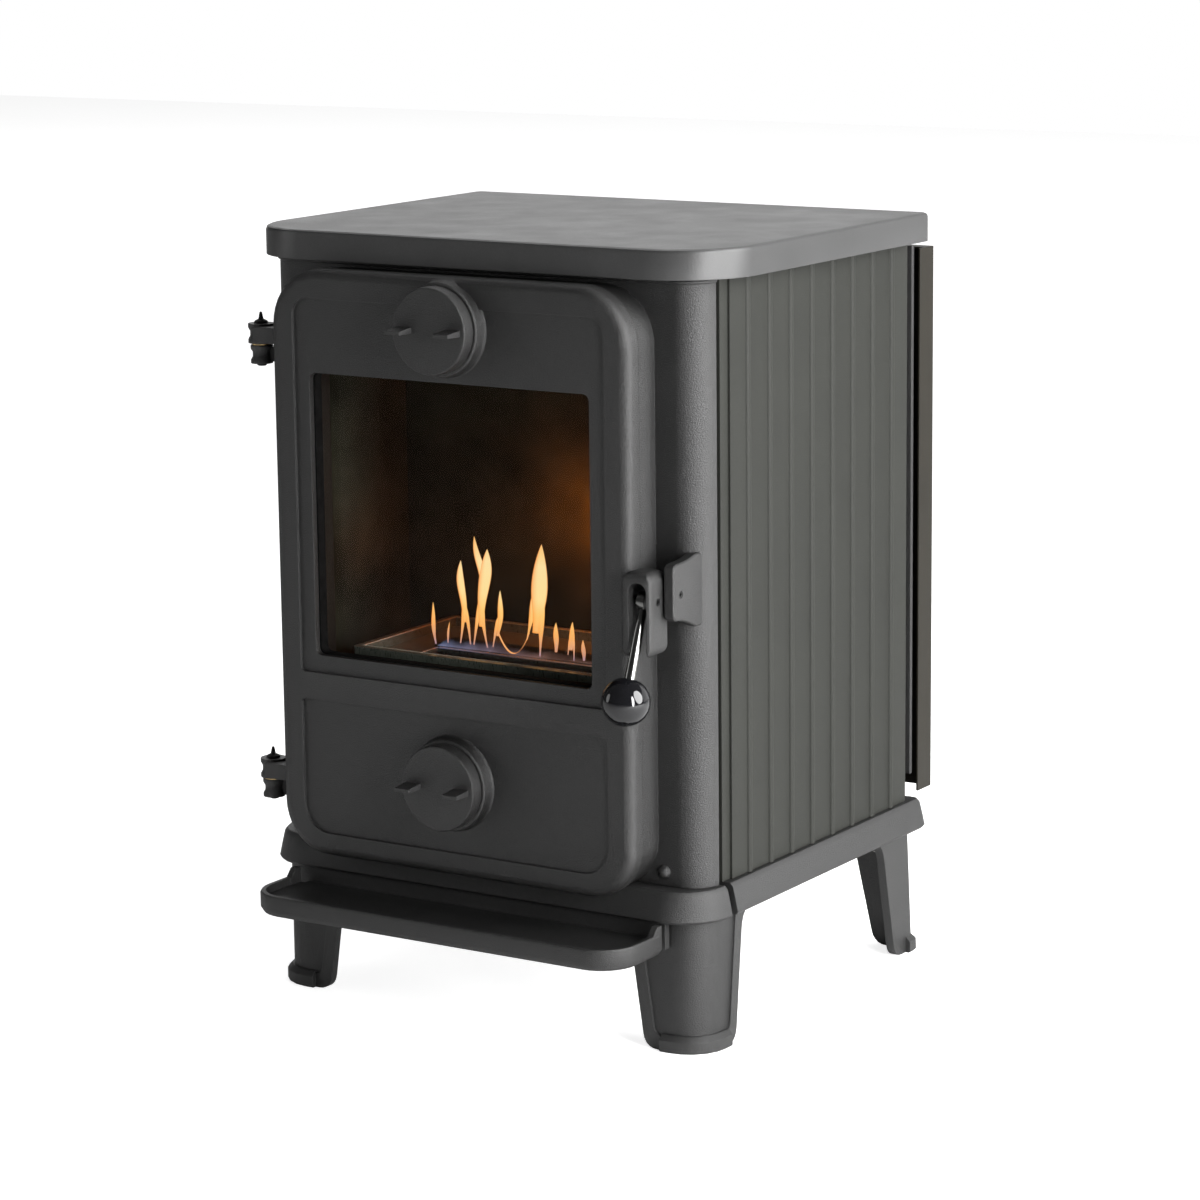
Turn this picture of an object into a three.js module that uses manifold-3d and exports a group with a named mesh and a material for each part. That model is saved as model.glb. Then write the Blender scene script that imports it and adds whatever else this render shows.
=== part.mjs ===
// A small cast-iron box stove on four legs, with a hinged glazed door, two screw-down air valves,
// a drop latch, ribbed side panels, a rear heat shield and a liquid-fuel burner in the firebox.
// Millimetres. X is to the right of someone facing the door, Y runs to the back, Z is up.

import * as THREE from 'three';
import { mergeVertices } from 'three/addons/utils/BufferGeometryUtils.js';
import Module from 'manifold-3d';

const wasm = await Module();
wasm.setup();

// ---------------------------------------------------------------- driving dimensions

// the stack, from the floor up
const LEG_HEIGHT = 100.5;
const BASE_HEIGHT = 23.5;
const BODY_HEIGHT = 450;
const RIM_HEIGHT = 22;
const CAST_WALL = 8;
const FIT_GAP = 0.3;

// plan of the body
const BODY_WIDTH = 384;
const COLUMN_RADIUS = 22;
const COLUMN_TUCK = 14;
const TUCK_WALL = 7;
const PANEL_JOINT = 8;
const PANEL_LENGTH = 283;

// top plate
const TOP_SIDE_OVERHANG = 20;
const TOP_FRONT_OVERHANG = 16;
const TOP_BACK_OVERHANG = 2;
const TOP_CORNER_RADIUS = 60;
const TOP_BACK_RADIUS = 8;
const TOP_SKIN = 8;
const RIM_WALL = 7;
const TOP_EDGE_ROUND = 3;

// ribbed side panels
const RIB_COUNT = 8;
const RIB_WIDTH = 6.5;
const RIB_HEIGHT = 2;
const PANEL_STEP = 11;
const PANEL_STEP_DEPTH = 2;
const RIB_MARGIN = 25.5;

// base casting
const BASE_SIDE_OVERHANG = 5;
const BASE_FRONT_OVERHANG = 14;
const BASE_BACK_OVERHANG = 18;
const BASE_CORNER_RADIUS = 34;
const BASE_BACK_RADIUS = 6;
const BASE_FLARE = 5.2;
const TONGUE_HALF_WIDTH = 120;
const TONGUE_LENGTH = 54;

// front legs: how far each wall reaches from the outer corner, under the base and at the floor
const FRONT_LEG_WIDTH = 65;
const FRONT_LEG_DEPTH = 58;
const FRONT_FOOT_WIDTH = 50.5;
const FRONT_FOOT_DEPTH = 47.5;
const FRONT_LEG_RADIUS = 28;
const FRONT_LEG_INSET_X = 1.5;
const FRONT_LEG_INSET_Y = 6;

// rear legs, which lean to the back
const REAR_LEG_WIDTH = 52;
const REAR_LEG_DEPTH = 48;
const REAR_FOOT_WIDTH = 33.6;
const REAR_FOOT_DEPTH = 34;
const REAR_LEG_RADIUS = 8;
const REAR_LEG_INSET_X = 2;
const REAR_LEG_INSET_Y = 13.5;
const REAR_LEG_SPLAY = 8;

// what all legs share
const LEG_WALL = 7;
const LEG_BORDER = 10;
const LEG_PANEL_DEPTH = 1.5;
const LEG_FOOT_RADIUS = 11;
const LEG_HEAD_FILLET = 16;
const FOOT_LIP = 4;
const FOOT_HEIGHT = 9;
const FOOT_LIP_SPAN = 8;
const LEG_BOLT_RADIUS = 4;
const LEG_PAD_WALL = 6;
const LEG_PAD_DROP = 1;
const FRONT_PAD_INSET_X = 10;
const FRONT_PAD_INSET_Y = 6;
const REAR_PAD_INSET_X = 4;
const REAR_PAD_INSET_Y = 12;

// ash lip
const LIP_MARGIN = 24;
const LIP_REACH = 84;
const LIP_THICKNESS = 16;
const LIP_BELOW_BASE = 6.5;
const LIP_RIM_WIDTH = 5;
const LIP_FLOOR_DROP = 6;
const LIP_FLOOR_THICKNESS = 5;
const LIP_CORNER_RADIUS = 30;
const LIP_TAB_HEIGHT = 6;
const LIP_TAB_LENGTH = 12;
const LIP_BOLT_SPACING = 180;

// door
const DOOR_MARGIN = 33;
const DOOR_CENTRE_X = -4;
const DOOR_BELOW_BODY = 6;
const DOOR_TOP_GAP = 4;
const DOOR_PROJECTION = 39;
const DOOR_THICKNESS = 15;
const DOOR_PLATE = 7;
const DOOR_EDGE_ROUND = 7;
const DOOR_TOP_RADIUS = 44;
const DOOR_BOTTOM_RADIUS = 40;
const DOOR_RIM_BACK = 16;
const DOOR_RIM_FRONT = 21;
const RECESS_DEPTH = 2;
const RECESS_RADIUS = 13;
const LOWER_RECESS_RADIUS = 22;
const LOWER_RECESS_FOOT = 18.5;
const LOWER_RECESS_HEIGHT = 104.5;
const RECESS_BAR = 21;
const LANDING_HEIGHT = 22;
const LANDING_INSET = 2;
const LANDING_WALL = 18;

// window
const WINDOW_SIDE_MARGIN = 34.5;
const WINDOW_TOP_MARGIN = 78;
const WINDOW_BOTTOM_MARGIN = 157.5;
const WINDOW_RADIUS = 5;
const GLASS_OVERLAP = 6.5;
const GLASS_THICKNESS = 4;
const GASKET_THICKNESS = 8.4;
const CLIP_WIDTH = 18;
const CLIP_THICKNESS = 2;
const CLIP_INSET = 39.5;

// seal between door and landing
const ROPE_WIDTH = 7;
const ROPE_INSET = 6;
const ROPE_GROOVE = 4;

// air valves
const VALVE_RADIUS = 32.5;
const VALVE_THICKNESS = 11;
const VALVE_FROM_TOP = 37.6;
const VALVE_FROM_BOTTOM = 72.2;
const COLLAR_RADIUS = 35;
const COLLAR_HEIGHT = 10;
const COLLAR_BORE = 25;
const COLLAR_FOOT = 2;
const BRIDGE_WIDTH = 14;
const STUD_RADIUS = 4;
const THREAD_CLEARANCE = 0.3;
const TAB_WIDTH = 13;
const TAB_LENGTH = 15;
const TAB_ROOT = 4.6;
const TAB_TIP = 2.8;
const TAB_DROOP = 0.6;
const TAB_SPACING = 43;
const VALVE_WASHER_THICKNESS = 1.5;
const VALVE_WASHER_RADIUS = 10;

// hinges
const HINGE_OFFSET_X = 21;
const HINGE_AXIS_Y = -22;
const LUG_RADIUS = 10;
const LUG_HEIGHT = 15;
const KNUCKLE_RADIUS = 8.5;
const KNUCKLE_HEIGHT = 14;
const HINGE_ARM = 12;
const HINGE_ARM_STEP = 1.5;
const WAIST = 1.5;
const HINGE_WASHER_THICKNESS = 1.2;
const PIN_RADIUS = 4;
const PIN_TIP = 8;
const PIN_CLEARANCE = 0.1;
const UPPER_HINGE_FROM_TOP = 62;
const LOWER_HINGE_FROM_BOTTOM = 51;

// latch
const CASE_WIDTH = 22;
const CASE_HEIGHT = 64;
const CASE_FROM_BOTTOM = 218.5;
const CASE_PROJECTION = 9;
const CASE_OVERLAP = 2;
const CASE_SLOT_WIDTH = 15;
const CASE_SLOT_OFFSET = 11.5;
const CASE_SLOT_TOP = 8;
const CASE_BACK_RADIUS = 7;
const AXLE_BELOW_CASE_TOP = 23;
const AXLE_BEHIND_CASE = 12;
const AXLE_RADIUS = 2.5;
const HUB_RADIUS = 7;
const LEVER_WIDTH = 8;
const LEVER_TOP_RADIUS = 3;
const LEVER_END_RADIUS = 4.2;
const BALL_RADIUS = 18;
const BALL_DROP = 69;
const BALL_FORWARD = 27;
const BALL_FLAT = 2;
const HOOK_WIDTH = 3.6;
const HOOK_THICKNESS = 5;
const HOOK_NOSE = 3.4;
const HOOK_NOSE_LENGTH = 4.5;
const CATCH_PIN_RADIUS = 2.5;
const CATCH_PIN_RISE = 4;
const CATCH_CLEARANCE = 0.8;
const BRACKET_GAP = 1.2;
const BRACKET_WIDTH = 8.8;
const BRACKET_HEIGHT = 42;
const BRACKET_FORWARD = 31;
const BRACKET_RISE = 15;
const BRACKET_ROOT = 8;
const BRACKET_HEAD_ROOT = 3.5;
const BRACKET_CORNER = 6;
const CROSS_SLOT_LENGTH = 3.4;
const CROSS_SLOT_WIDTH = 0.9;
const CROSS_SLOT_DEPTH = 1.2;

// small cast details of the front
const BEAD_HEIGHT = 4;
const BEAD_REACH = 1.6;
const BOSS_RADIUS = 5.5;
const BOSS_REACH = 4;
const BOSS_FROM_SIDE = 34;
const BOSS_FROM_BOTTOM = 10.5;

// rear plate and shield
const BACK_RECESS = 11.4;
const BACK_SHEET = 3.6;
const BACK_SIDE_INSET = 2;
const WEB_INSET = 16;
const WEB_THICKNESS = 6;
const WEB_DEPTH = 24;
const BACK_LIFT = 20;
const BACK_TOP_GAP = 6;
const SHIELD_FLANGE = 22.2;
const SHIELD_SHEET = 1.5;
const SHIELD_LIFT = 4;
const SHIELD_TOP_GAP = 9;
const SHIELD_LID_DEPTH = 12;
const SHIELD_SPACE = 6.6;
const STANDOFF_RADIUS = 5;
const SCREW_RADIUS = 2.5;
const SCREW_HEAD = 3;
const STANDOFF_MARGIN_X = 40;
const STANDOFF_MARGIN_Z = 70;

// firebox insert
const LINER_THICKNESS = 6;
const LINER_GAP = 0.4;
const FIREBOX_FRONT = 12;
const FIREBOX_DEPTH = 134;
const FIREBOX_TOP_DROP = 34;
const SHELF_HEIGHT = 108;
const SHELF_THICKNESS = 4;
const SHELF_FRONT_SETBACK = 8;

// burner
const TRAY_WIDTH = 244;
const TRAY_PLATE = 4;
const TRAY_RIM_HEIGHT = 7;
const TRAY_RIM_WIDTH = 6;
const SLOT_LENGTH = 164;
const SLOT_WIDTH = 24;
const SLOT_FROM_FRONT = 46;
const BOX_WALL = 2;
const BOX_HEIGHT = 31;
const BOX_LENGTH = 190;
const BOX_DEPTH = 62;
const SLIDER_THICKNESS = 1.5;
const SLIDER_TAB = 12;

// rods that hold the castings together
const ROD_RADIUS = 4;
const ROD_INSET_X = 30;
const ROD_FRONT = 190;
const ROD_BACK = 290;
const NUT_RADIUS = 8;
const NUT_HEIGHT = 6;

// ---------------------------------------------------------------- derived places

const baseTop = LEG_HEIGHT + BASE_HEIGHT;
const bodyBottom = baseTop + FIT_GAP;
const rimBottom = baseTop + BODY_HEIGHT;
const plateTop = rimBottom + RIM_HEIGHT;
const bodyTop = plateTop - TOP_SKIN - FIT_GAP;
const bodyHalf = BODY_WIDTH / 2;
const panelInner = bodyHalf - CAST_WALL;
const panelFront = COLUMN_RADIUS + PANEL_JOINT;
const panelBack = panelFront + PANEL_LENGTH;
const tuckOuter = panelInner - FIT_GAP;
const tuckInner = tuckOuter - TUCK_WALL;
const linerHalf = tuckInner - LINER_GAP - LINER_THICKNESS;

const baseHalf = bodyHalf + BASE_SIDE_OVERHANG;
const baseFront = -BASE_FRONT_OVERHANG;
const baseBack = panelBack + BASE_BACK_OVERHANG;

const doorBottom = baseTop - DOOR_BELOW_BODY;
const doorTop = rimBottom - DOOR_TOP_GAP;
const doorFace = -DOOR_PROJECTION;
const doorBack = doorFace + DOOR_THICKNESS;
const doorHalf = bodyHalf - DOOR_MARGIN;
const landingFront = -LANDING_HEIGHT;
const plateBack = doorFace + DOOR_PLATE;
const upperValveZ = doorTop - VALVE_FROM_TOP;
const lowerValveZ = doorBottom + VALVE_FROM_BOTTOM;
const collarFace = doorFace + RECESS_DEPTH - COLLAR_HEIGHT;

const windowHalf = doorHalf - WINDOW_SIDE_MARGIN;
const windowBottom = doorBottom + WINDOW_BOTTOM_MARGIN;
const windowTop = doorTop - WINDOW_TOP_MARGIN;
const gasketBack = plateBack + FIT_GAP + GASKET_THICKNESS;
const glassFront = gasketBack + FIT_GAP;
const glassBack = glassFront + GLASS_THICKNESS;

const hingeX = -doorHalf - HINGE_OFFSET_X;
const upperHingeZ = doorTop - UPPER_HINGE_FROM_TOP;
const lowerHingeZ = doorBottom + LOWER_HINGE_FROM_BOTTOM;
const lugBottom = HINGE_WASHER_THICKNESS + FIT_GAP;

const caseLeft = doorHalf - CASE_OVERLAP;
const caseRight = doorHalf + CASE_WIDTH;
const caseFront = doorFace - CASE_PROJECTION;
const caseCentreZ = doorBottom + CASE_FROM_BOTTOM;
const caseTop = caseCentreZ + CASE_HEIGHT / 2;
const caseBottom = caseCentreZ - CASE_HEIGHT / 2;
const slotX = doorHalf + CASE_SLOT_OFFSET;
const axleY = caseFront + AXLE_BEHIND_CASE;
const axleZ = caseTop - AXLE_BELOW_CASE_TOP;
const catchPinY = doorBack + CATCH_PIN_RADIUS + FIT_GAP;
const catchPinZ = axleZ + CATCH_PIN_RISE;
const hookReach = catchPinY - axleY + CATCH_PIN_RADIUS + CATCH_CLEARANCE + HOOK_NOSE_LENGTH;
const hookLeft = slotX + LEVER_WIDTH / 4 + FIT_GAP;
const hookRight = hookLeft + HOOK_WIDTH;
const bracketRight = DOOR_CENTRE_X + caseRight + BRACKET_GAP + BRACKET_WIDTH;
const bracketCentreZ = caseCentreZ + BRACKET_RISE;

const backFront = panelBack + BACK_RECESS;
const backRear = backFront + BACK_SHEET;
const shieldFront = backRear + SHIELD_SPACE;
const shieldRear = shieldFront + SHIELD_FLANGE;

const fireboxBack = FIREBOX_FRONT + FIREBOX_DEPTH;
const fireboxTop = bodyTop - FIREBOX_TOP_DROP;
const shelfTop = baseTop + SHELF_HEIGHT;
const boxTop = shelfTop + FIT_GAP + BOX_HEIGHT;
const trayBottom = boxTop + FIT_GAP;
const trayFront = FIREBOX_FRONT - 6;
const slotCentreY = trayFront + SLOT_FROM_FRONT;

const lipHalf = bodyHalf - LIP_MARGIN;
const lipTop = LEG_HEIGHT - LIP_BELOW_BASE;
const lipBottom = lipTop - LIP_THICKNESS;
const lipFloor = lipTop - LIP_FLOOR_DROP;
const apronBack = baseFront + FRONT_LEG_INSET_Y - FIT_GAP;

// ---------------------------------------------------------------- materials

function material(color, roughness, metalness) {
  return new THREE.MeshStandardMaterial({ color, roughness, metalness });
}

const castIron = material('#3b3b39', 0.6, 0.35);
const topIron = material('#474745', 0.5, 0.4);
const darkIron = material('#151514', 0.7, 0.2);
const shieldPaint = material('#3e3c33', 0.55, 0.3);
const firebrick = material('#1b1a18', 0.9, 0.0);
const steel = material('#b9b7b0', 0.25, 1.0);
const dullSteel = material('#5c5a55', 0.45, 0.9);
const brass = material('#b08a4a', 0.35, 1.0);
const ballEnamel = material('#08080a', 0.08, 0.0);
const rope = material('#161616', 0.95, 0.0);
const glass = material('#1c1c1a', 0.05, 0.0);

// ---------------------------------------------------------------- solids

// A closed geometry as a solid that can be joined and cut.
function solid(geometry) {
  const bare = geometry.clone();
  bare.deleteAttribute('normal');
  bare.deleteAttribute('uv');
  const merged = mergeVertices(bare, 1e-4);
  const vertProperties = Float32Array.from(merged.attributes.position.array);
  const triVerts = Uint32Array.from(merged.index.array);
  return new wasm.Manifold(new wasm.Mesh({ numProp: 3, vertProperties, triVerts }));
}

function geometryOf(body) {
  const mesh = body.getMesh();
  const geometry = new THREE.BufferGeometry();
  geometry.setAttribute('position', new THREE.BufferAttribute(mesh.vertProperties, 3));
  geometry.setIndex(new THREE.BufferAttribute(mesh.triVerts, 1));
  return geometry;
}

// Names a solid as one sub-part of the group that carries it.
function part(group, name, body, finish) {
  const mesh = new THREE.Mesh(geometryOf(body), finish);
  mesh.name = name;
  group.add(mesh);
  return mesh;
}

function joined(first, ...others) {
  return others.reduce((sum, other) => sum.add(other), first);
}

function cut(first, ...others) {
  return others.reduce((rest, other) => rest.subtract(other), first);
}

function box(x0, x1, y0, y1, z0, z1) {
  const geometry = new THREE.BoxGeometry(x1 - x0, y1 - y0, z1 - z0);
  geometry.translate((x0 + x1) / 2, (y0 + y1) / 2, (z0 + z1) / 2);
  return solid(geometry);
}

const alongX = new THREE.Matrix4().makeBasis(
  new THREE.Vector3(0, 1, 0),
  new THREE.Vector3(0, 0, 1),
  new THREE.Vector3(1, 0, 0),
);
const alongMinusY = new THREE.Matrix4().makeBasis(
  new THREE.Vector3(1, 0, 0),
  new THREE.Vector3(0, 0, 1),
  new THREE.Vector3(0, -1, 0),
);

function extrusion(shape, length, steps, bevel, bevelSteps) {
  return new THREE.ExtrudeGeometry(shape, {
    depth: length - 2 * bevel,
    curveSegments: steps,
    bevelEnabled: bevel > 0,
    bevelThickness: bevel,
    bevelSize: bevel,
    bevelOffset: -bevel,
    bevelSegments: bevelSteps,
  }).translate(0, 0, bevel);
}

// A shape drawn in X and Y, raised from z0 to z1.
function prismZ(shape, z0, z1, steps = 6, bevel = 0, bevelSteps = 2) {
  return solid(extrusion(shape, z1 - z0, steps, bevel, bevelSteps).translate(0, 0, z0));
}

// A shape drawn in X and Z, carried from y0 at the front to y1 at the back.
function prismY(shape, y0, y1, steps = 6, bevel = 0, bevelSteps = 2) {
  const geometry = extrusion(shape, y1 - y0, steps, bevel, bevelSteps);
  return solid(geometry.applyMatrix4(alongMinusY).translate(0, y1, 0));
}

// A shape drawn in Y and Z, carried from x0 to x1.
function prismX(shape, x0, x1, steps = 6, bevel = 0, bevelSteps = 2) {
  const geometry = extrusion(shape, x1 - x0, steps, bevel, bevelSteps);
  return solid(geometry.applyMatrix4(alongX).translate(x0, 0, 0));
}

// The same with only its front edge rounded.
function roundFacedY(shape, y0, y1, steps, bevel, bevelSteps) {
  const reach = 4 * bevel;
  const whole = prismY(shape, y0, y1 + reach, steps, bevel, bevelSteps);
  const far = 1000;
  return whole.subtract(box(-far, far, y1, y1 + far, -far, far));
}

function roundedRectangle(left, right, bottom, top, footRadius, headRadius = footRadius) {
  const shape = new THREE.Shape();
  const quarter = Math.PI / 2;
  shape.moveTo(left + footRadius, bottom);
  shape.lineTo(right - footRadius, bottom);
  shape.absarc(right - footRadius, bottom + footRadius, footRadius, -quarter, 0);
  shape.lineTo(right, top - headRadius);
  shape.absarc(right - headRadius, top - headRadius, headRadius, 0, quarter);
  shape.lineTo(left + headRadius, top);
  shape.absarc(left + headRadius, top - headRadius, headRadius, quarter, 2 * quarter);
  shape.lineTo(left, bottom + footRadius);
  shape.absarc(left + footRadius, bottom + footRadius, footRadius, 2 * quarter, 3 * quarter);
  return shape;
}

function polygon(points) {
  return new THREE.Shape(points.map(([x, y]) => new THREE.Vector2(x, y)));
}

// A turned piece about the Z axis; the profile lists [radius, z] from the bottom up.
function turned(profile, sides) {
  const points = profile.map(([radius, z]) => new THREE.Vector2(radius, z));
  return solid(new THREE.LatheGeometry(points, sides).rotateX(Math.PI / 2));
}

function rodZ(radius, z0, z1, sides = 16) {
  return turned([[0, z0], [radius, z0], [radius, z1], [0, z1]], sides);
}

// Corner points of a rounded plan, counter-clockwise from the front right corner.
// Radii run front right, back right, back left, front left; grow moves every side outwards.
// The widest corner takes all the steps, tighter ones fewer.
function planOutline({ left, right, front, back, radii, steps }, grow = 0) {
  const corners = [
    [right, front, 1, -1],
    [right, back, 1, 1],
    [left, back, -1, 1],
    [left, front, -1, -1],
  ];
  const widest = Math.max(...radii);
  const points = [];
  corners.forEach(([x, y, sideX, sideY], corner) => {
    const radius = radii[corner];
    const turns = Math.max(1, Math.round(steps * Math.sqrt(radius / widest)));
    const drawn = Math.max(radius + grow, 0.2);
    const centreX = x + sideX * (grow - drawn);
    const centreY = y + sideY * (grow - drawn);
    for (let step = 0; step <= turns; step += 1) {
      const angle = (corner - 1 + step / turns) * (Math.PI / 2);
      points.push([centreX + drawn * Math.cos(angle), centreY + drawn * Math.sin(angle)]);
    }
  });
  return points;
}

// A closed skin over outlines stacked from the bottom up, all with the same number of points.
function loft(levels) {
  const count = levels[0].points.length;
  const position = levels.flatMap(({ z, points }) => points.flatMap(([x, y]) => [x, y, z]));
  const index = [];
  for (let level = 0; level + 1 < levels.length; level += 1) {
    for (let spot = 0; spot < count; spot += 1) {
      const a = level * count + spot;
      const b = level * count + ((spot + 1) % count);
      index.push(a, b, b + count, a, b + count, a + count);
    }
  }
  const last = (levels.length - 1) * count;
  const lid = (points) => THREE.ShapeUtils.triangulateShape(
    points.map(([x, y]) => new THREE.Vector2(x, y)), []);
  lid(levels[0].points).forEach(([a, b, c]) => index.push(c, b, a));
  lid(levels[levels.length - 1].points).forEach(([a, b, c]) => index.push(last + a, last + b, last + c));
  const geometry = new THREE.BufferGeometry();
  geometry.setAttribute('position', new THREE.Float32BufferAttribute(position, 3));
  geometry.setIndex(index);
  return solid(geometry);
}

function loftPlan(plan, profile) {
  return loft(profile.map(([z, grow]) => ({ z, points: planOutline(plan, grow) })));
}

// The same body reflected in the plane X = 0.
function reflected(body) {
  const geometry = geometryOf(body);
  geometry.scale(-1, 1, 1);
  const index = geometry.index.array;
  for (let corner = 0; corner < index.length; corner += 3) {
    [index[corner], index[corner + 1]] = [index[corner + 1], index[corner]];
  }
  return solid(geometry);
}

// ---------------------------------------------------------------- top plate

function topPlate() {
  const plan = {
    left: -bodyHalf - TOP_SIDE_OVERHANG,
    right: bodyHalf + TOP_SIDE_OVERHANG,
    front: -TOP_FRONT_OVERHANG,
    back: panelBack + TOP_BACK_OVERHANG,
    radii: [TOP_CORNER_RADIUS, TOP_BACK_RADIUS, TOP_BACK_RADIUS, TOP_CORNER_RADIUS],
    steps: 9,
  };
  const round = TOP_EDGE_ROUND;
  const outer = loftPlan(plan, [
    [rimBottom, 0],
    [plateTop - round, 0],
    [plateTop - 0.3 * round, -0.3 * round],
    [plateTop, -round],
  ]);
  const openBack = { ...plan, back: plan.back + 2 * RIM_WALL };
  const hollow = loftPlan(openBack, [[rimBottom - 1, -RIM_WALL], [plateTop - TOP_SKIN, -RIM_WALL]]);
  return cut(outer, hollow);
}

// ---------------------------------------------------------------- body castings

function sidePanelShape() {
  const face = bodyHalf;
  const stepEnd = panelFront + PANEL_STEP;
  const shape = new THREE.Shape();
  shape.moveTo(panelInner, panelFront);
  shape.lineTo(face - PANEL_STEP_DEPTH, panelFront);
  shape.lineTo(face - PANEL_STEP_DEPTH, stepEnd);
  shape.lineTo(face, stepEnd);
  const first = stepEnd + RIB_MARGIN;
  const pitch = (panelBack - RIB_MARGIN - first) / (RIB_COUNT - 1);
  for (let rib = 0; rib < RIB_COUNT; rib += 1) {
    const centre = first + rib * pitch;
    shape.lineTo(face, centre - RIB_WIDTH / 2);
    shape.absellipse(face, centre, RIB_HEIGHT, RIB_WIDTH / 2, -Math.PI / 2, Math.PI / 2);
  }
  shape.lineTo(face, panelBack);
  shape.lineTo(panelInner, panelBack);
  return shape;
}

function sidePanel() {
  return prismZ(sidePanelShape(), bodyBottom, bodyTop, 4);
}

function columnPlan() {
  const tuckEnd = panelFront + COLUMN_TUCK;
  const radius = COLUMN_RADIUS;
  const shape = new THREE.Shape();
  shape.moveTo(-bodyHalf, radius);
  shape.absarc(radius - bodyHalf, radius, radius, Math.PI, 1.5 * Math.PI);
  shape.lineTo(bodyHalf - radius, 0);
  shape.absarc(bodyHalf - radius, radius, radius, -Math.PI / 2, 0);
  shape.lineTo(tuckOuter, radius);
  shape.lineTo(tuckOuter, tuckEnd);
  shape.lineTo(tuckInner, tuckEnd);
  shape.lineTo(tuckInner, CAST_WALL);
  shape.lineTo(-tuckInner, CAST_WALL);
  shape.lineTo(-tuckInner, tuckEnd);
  shape.lineTo(-tuckOuter, tuckEnd);
  shape.lineTo(-tuckOuter, radius);
  return shape;
}

function doorShape(inset) {
  return roundedRectangle(
    -doorHalf + inset,
    doorHalf - inset,
    doorBottom + inset,
    doorTop - inset,
    DOOR_BOTTOM_RADIUS - inset,
    DOOR_TOP_RADIUS - inset,
  );
}

// A waisted eye for a hinge, turned about the pin, standing on z = 0.
function waistedEye(radius, height) {
  return turned([
    [0, 0],
    [radius, 0],
    [radius, 0.2 * height],
    [radius - WAIST, 0.38 * height],
    [radius - WAIST, 0.62 * height],
    [radius, 0.8 * height],
    [radius, height],
    [0, height],
  ], 14);
}

function pinHole(z0, z1) {
  return rodZ(PIN_RADIUS + PIN_CLEARANCE, z0 - 1, z1 + 1, 16);
}

// The body's half of a hinge, with its arm to the landing; its top is the hinge's own z = 0.
function bodyKnuckle() {
  const eye = waistedEye(KNUCKLE_RADIUS, KNUCKLE_HEIGHT);
  const armRight = HINGE_OFFSET_X + LANDING_INSET + LANDING_WALL / 4;
  const arm = box(1, armRight, 1, 1 + HINGE_ARM, HINGE_ARM_STEP, KNUCKLE_HEIGHT - HINGE_ARM_STEP);
  return cut(joined(eye, arm), pinHole(0, KNUCKLE_HEIGHT)).translate([0, 0, -KNUCKLE_HEIGHT]);
}

// A bracket that swells out of the column and holds the catch pin.
function catchBracket() {
  const front = -BRACKET_FORWARD;
  const low = bracketCentreZ - BRACKET_HEIGHT / 2;
  const high = bracketCentreZ + BRACKET_HEIGHT / 2;
  const corner = BRACKET_CORNER;
  const root = BRACKET_ROOT;
  const headRoot = BRACKET_HEAD_ROOT;
  const inside = COLUMN_RADIUS / 2;
  const shape = new THREE.Shape();
  shape.moveTo(inside, low - root);
  shape.lineTo(0, low - root);
  shape.quadraticCurveTo(-2 * root, low, front + corner, low);
  shape.quadraticCurveTo(front, low, front, low + corner);
  shape.lineTo(front, high - corner);
  shape.quadraticCurveTo(front, high, front + corner, high);
  shape.quadraticCurveTo(-3 * headRoot, high, 0, high + headRoot);
  shape.lineTo(inside, high + headRoot);
  const body = prismX(shape, bracketRight - BRACKET_WIDTH, bracketRight, 4, 1, 1);
  const hole = rodX(CATCH_PIN_RADIUS + FIT_GAP, bracketRight - 2 * BRACKET_WIDTH, bracketRight + 1);
  return cut(body, hole.translate([0, catchPinY, catchPinZ]));
}

// The bead around the head of the front casting, just under the top plate's rim.
function headBead() {
  const plan = {
    left: -bodyHalf,
    right: bodyHalf,
    front: 0,
    back: 3 * COLUMN_RADIUS,
    radii: [COLUMN_RADIUS, 1, 1, COLUMN_RADIUS],
    steps: 8,
  };
  const top = rimBottom - FIT_GAP;
  const ring = loftPlan(plan, [
    [top - BEAD_HEIGHT, -1],
    [top - 0.7 * BEAD_HEIGHT, BEAD_REACH],
    [top - 0.3 * BEAD_HEIGHT, BEAD_REACH],
    [top, -1],
  ]);
  const inside = loftPlan(plan, [
    [top - 2 * BEAD_HEIGHT, -TUCK_WALL / 2],
    [top + BEAD_HEIGHT, -TUCK_WALL / 2],
  ]);
  return cut(ring, inside, box(-wide, wide, COLUMN_RADIUS - 1, wide, 0, plateTop));
}

// The round boss at the foot of the right column.
function footBoss() {
  const profile = [
    [0, -BOSS_REACH],
    [0.5 * BOSS_RADIUS, -0.85 * BOSS_REACH],
    [0.85 * BOSS_RADIUS, -0.5 * BOSS_REACH],
    [BOSS_RADIUS, 0],
    [BOSS_RADIUS, 1],
    [0, 1],
  ];
  const points = profile.map(([radius, y]) => new THREE.Vector2(radius, y));
  return solid(new THREE.LatheGeometry(points, 16))
    .translate([bodyHalf - BOSS_FROM_SIDE, 0, bodyBottom + BOSS_FROM_BOTTOM]);
}

function rodX(radius, x0, x1, sides = 16) {
  const geometry = new THREE.CylinderGeometry(radius, radius, x1 - x0, sides);
  geometry.rotateZ(Math.PI / 2);
  geometry.translate((x0 + x1) / 2, 0, 0);
  return solid(geometry);
}

function rodY(radius, y0, y1, sides = 16) {
  const geometry = new THREE.CylinderGeometry(radius, radius, y1 - y0, sides);
  geometry.translate(0, (y0 + y1) / 2, 0);
  return solid(geometry);
}

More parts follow.
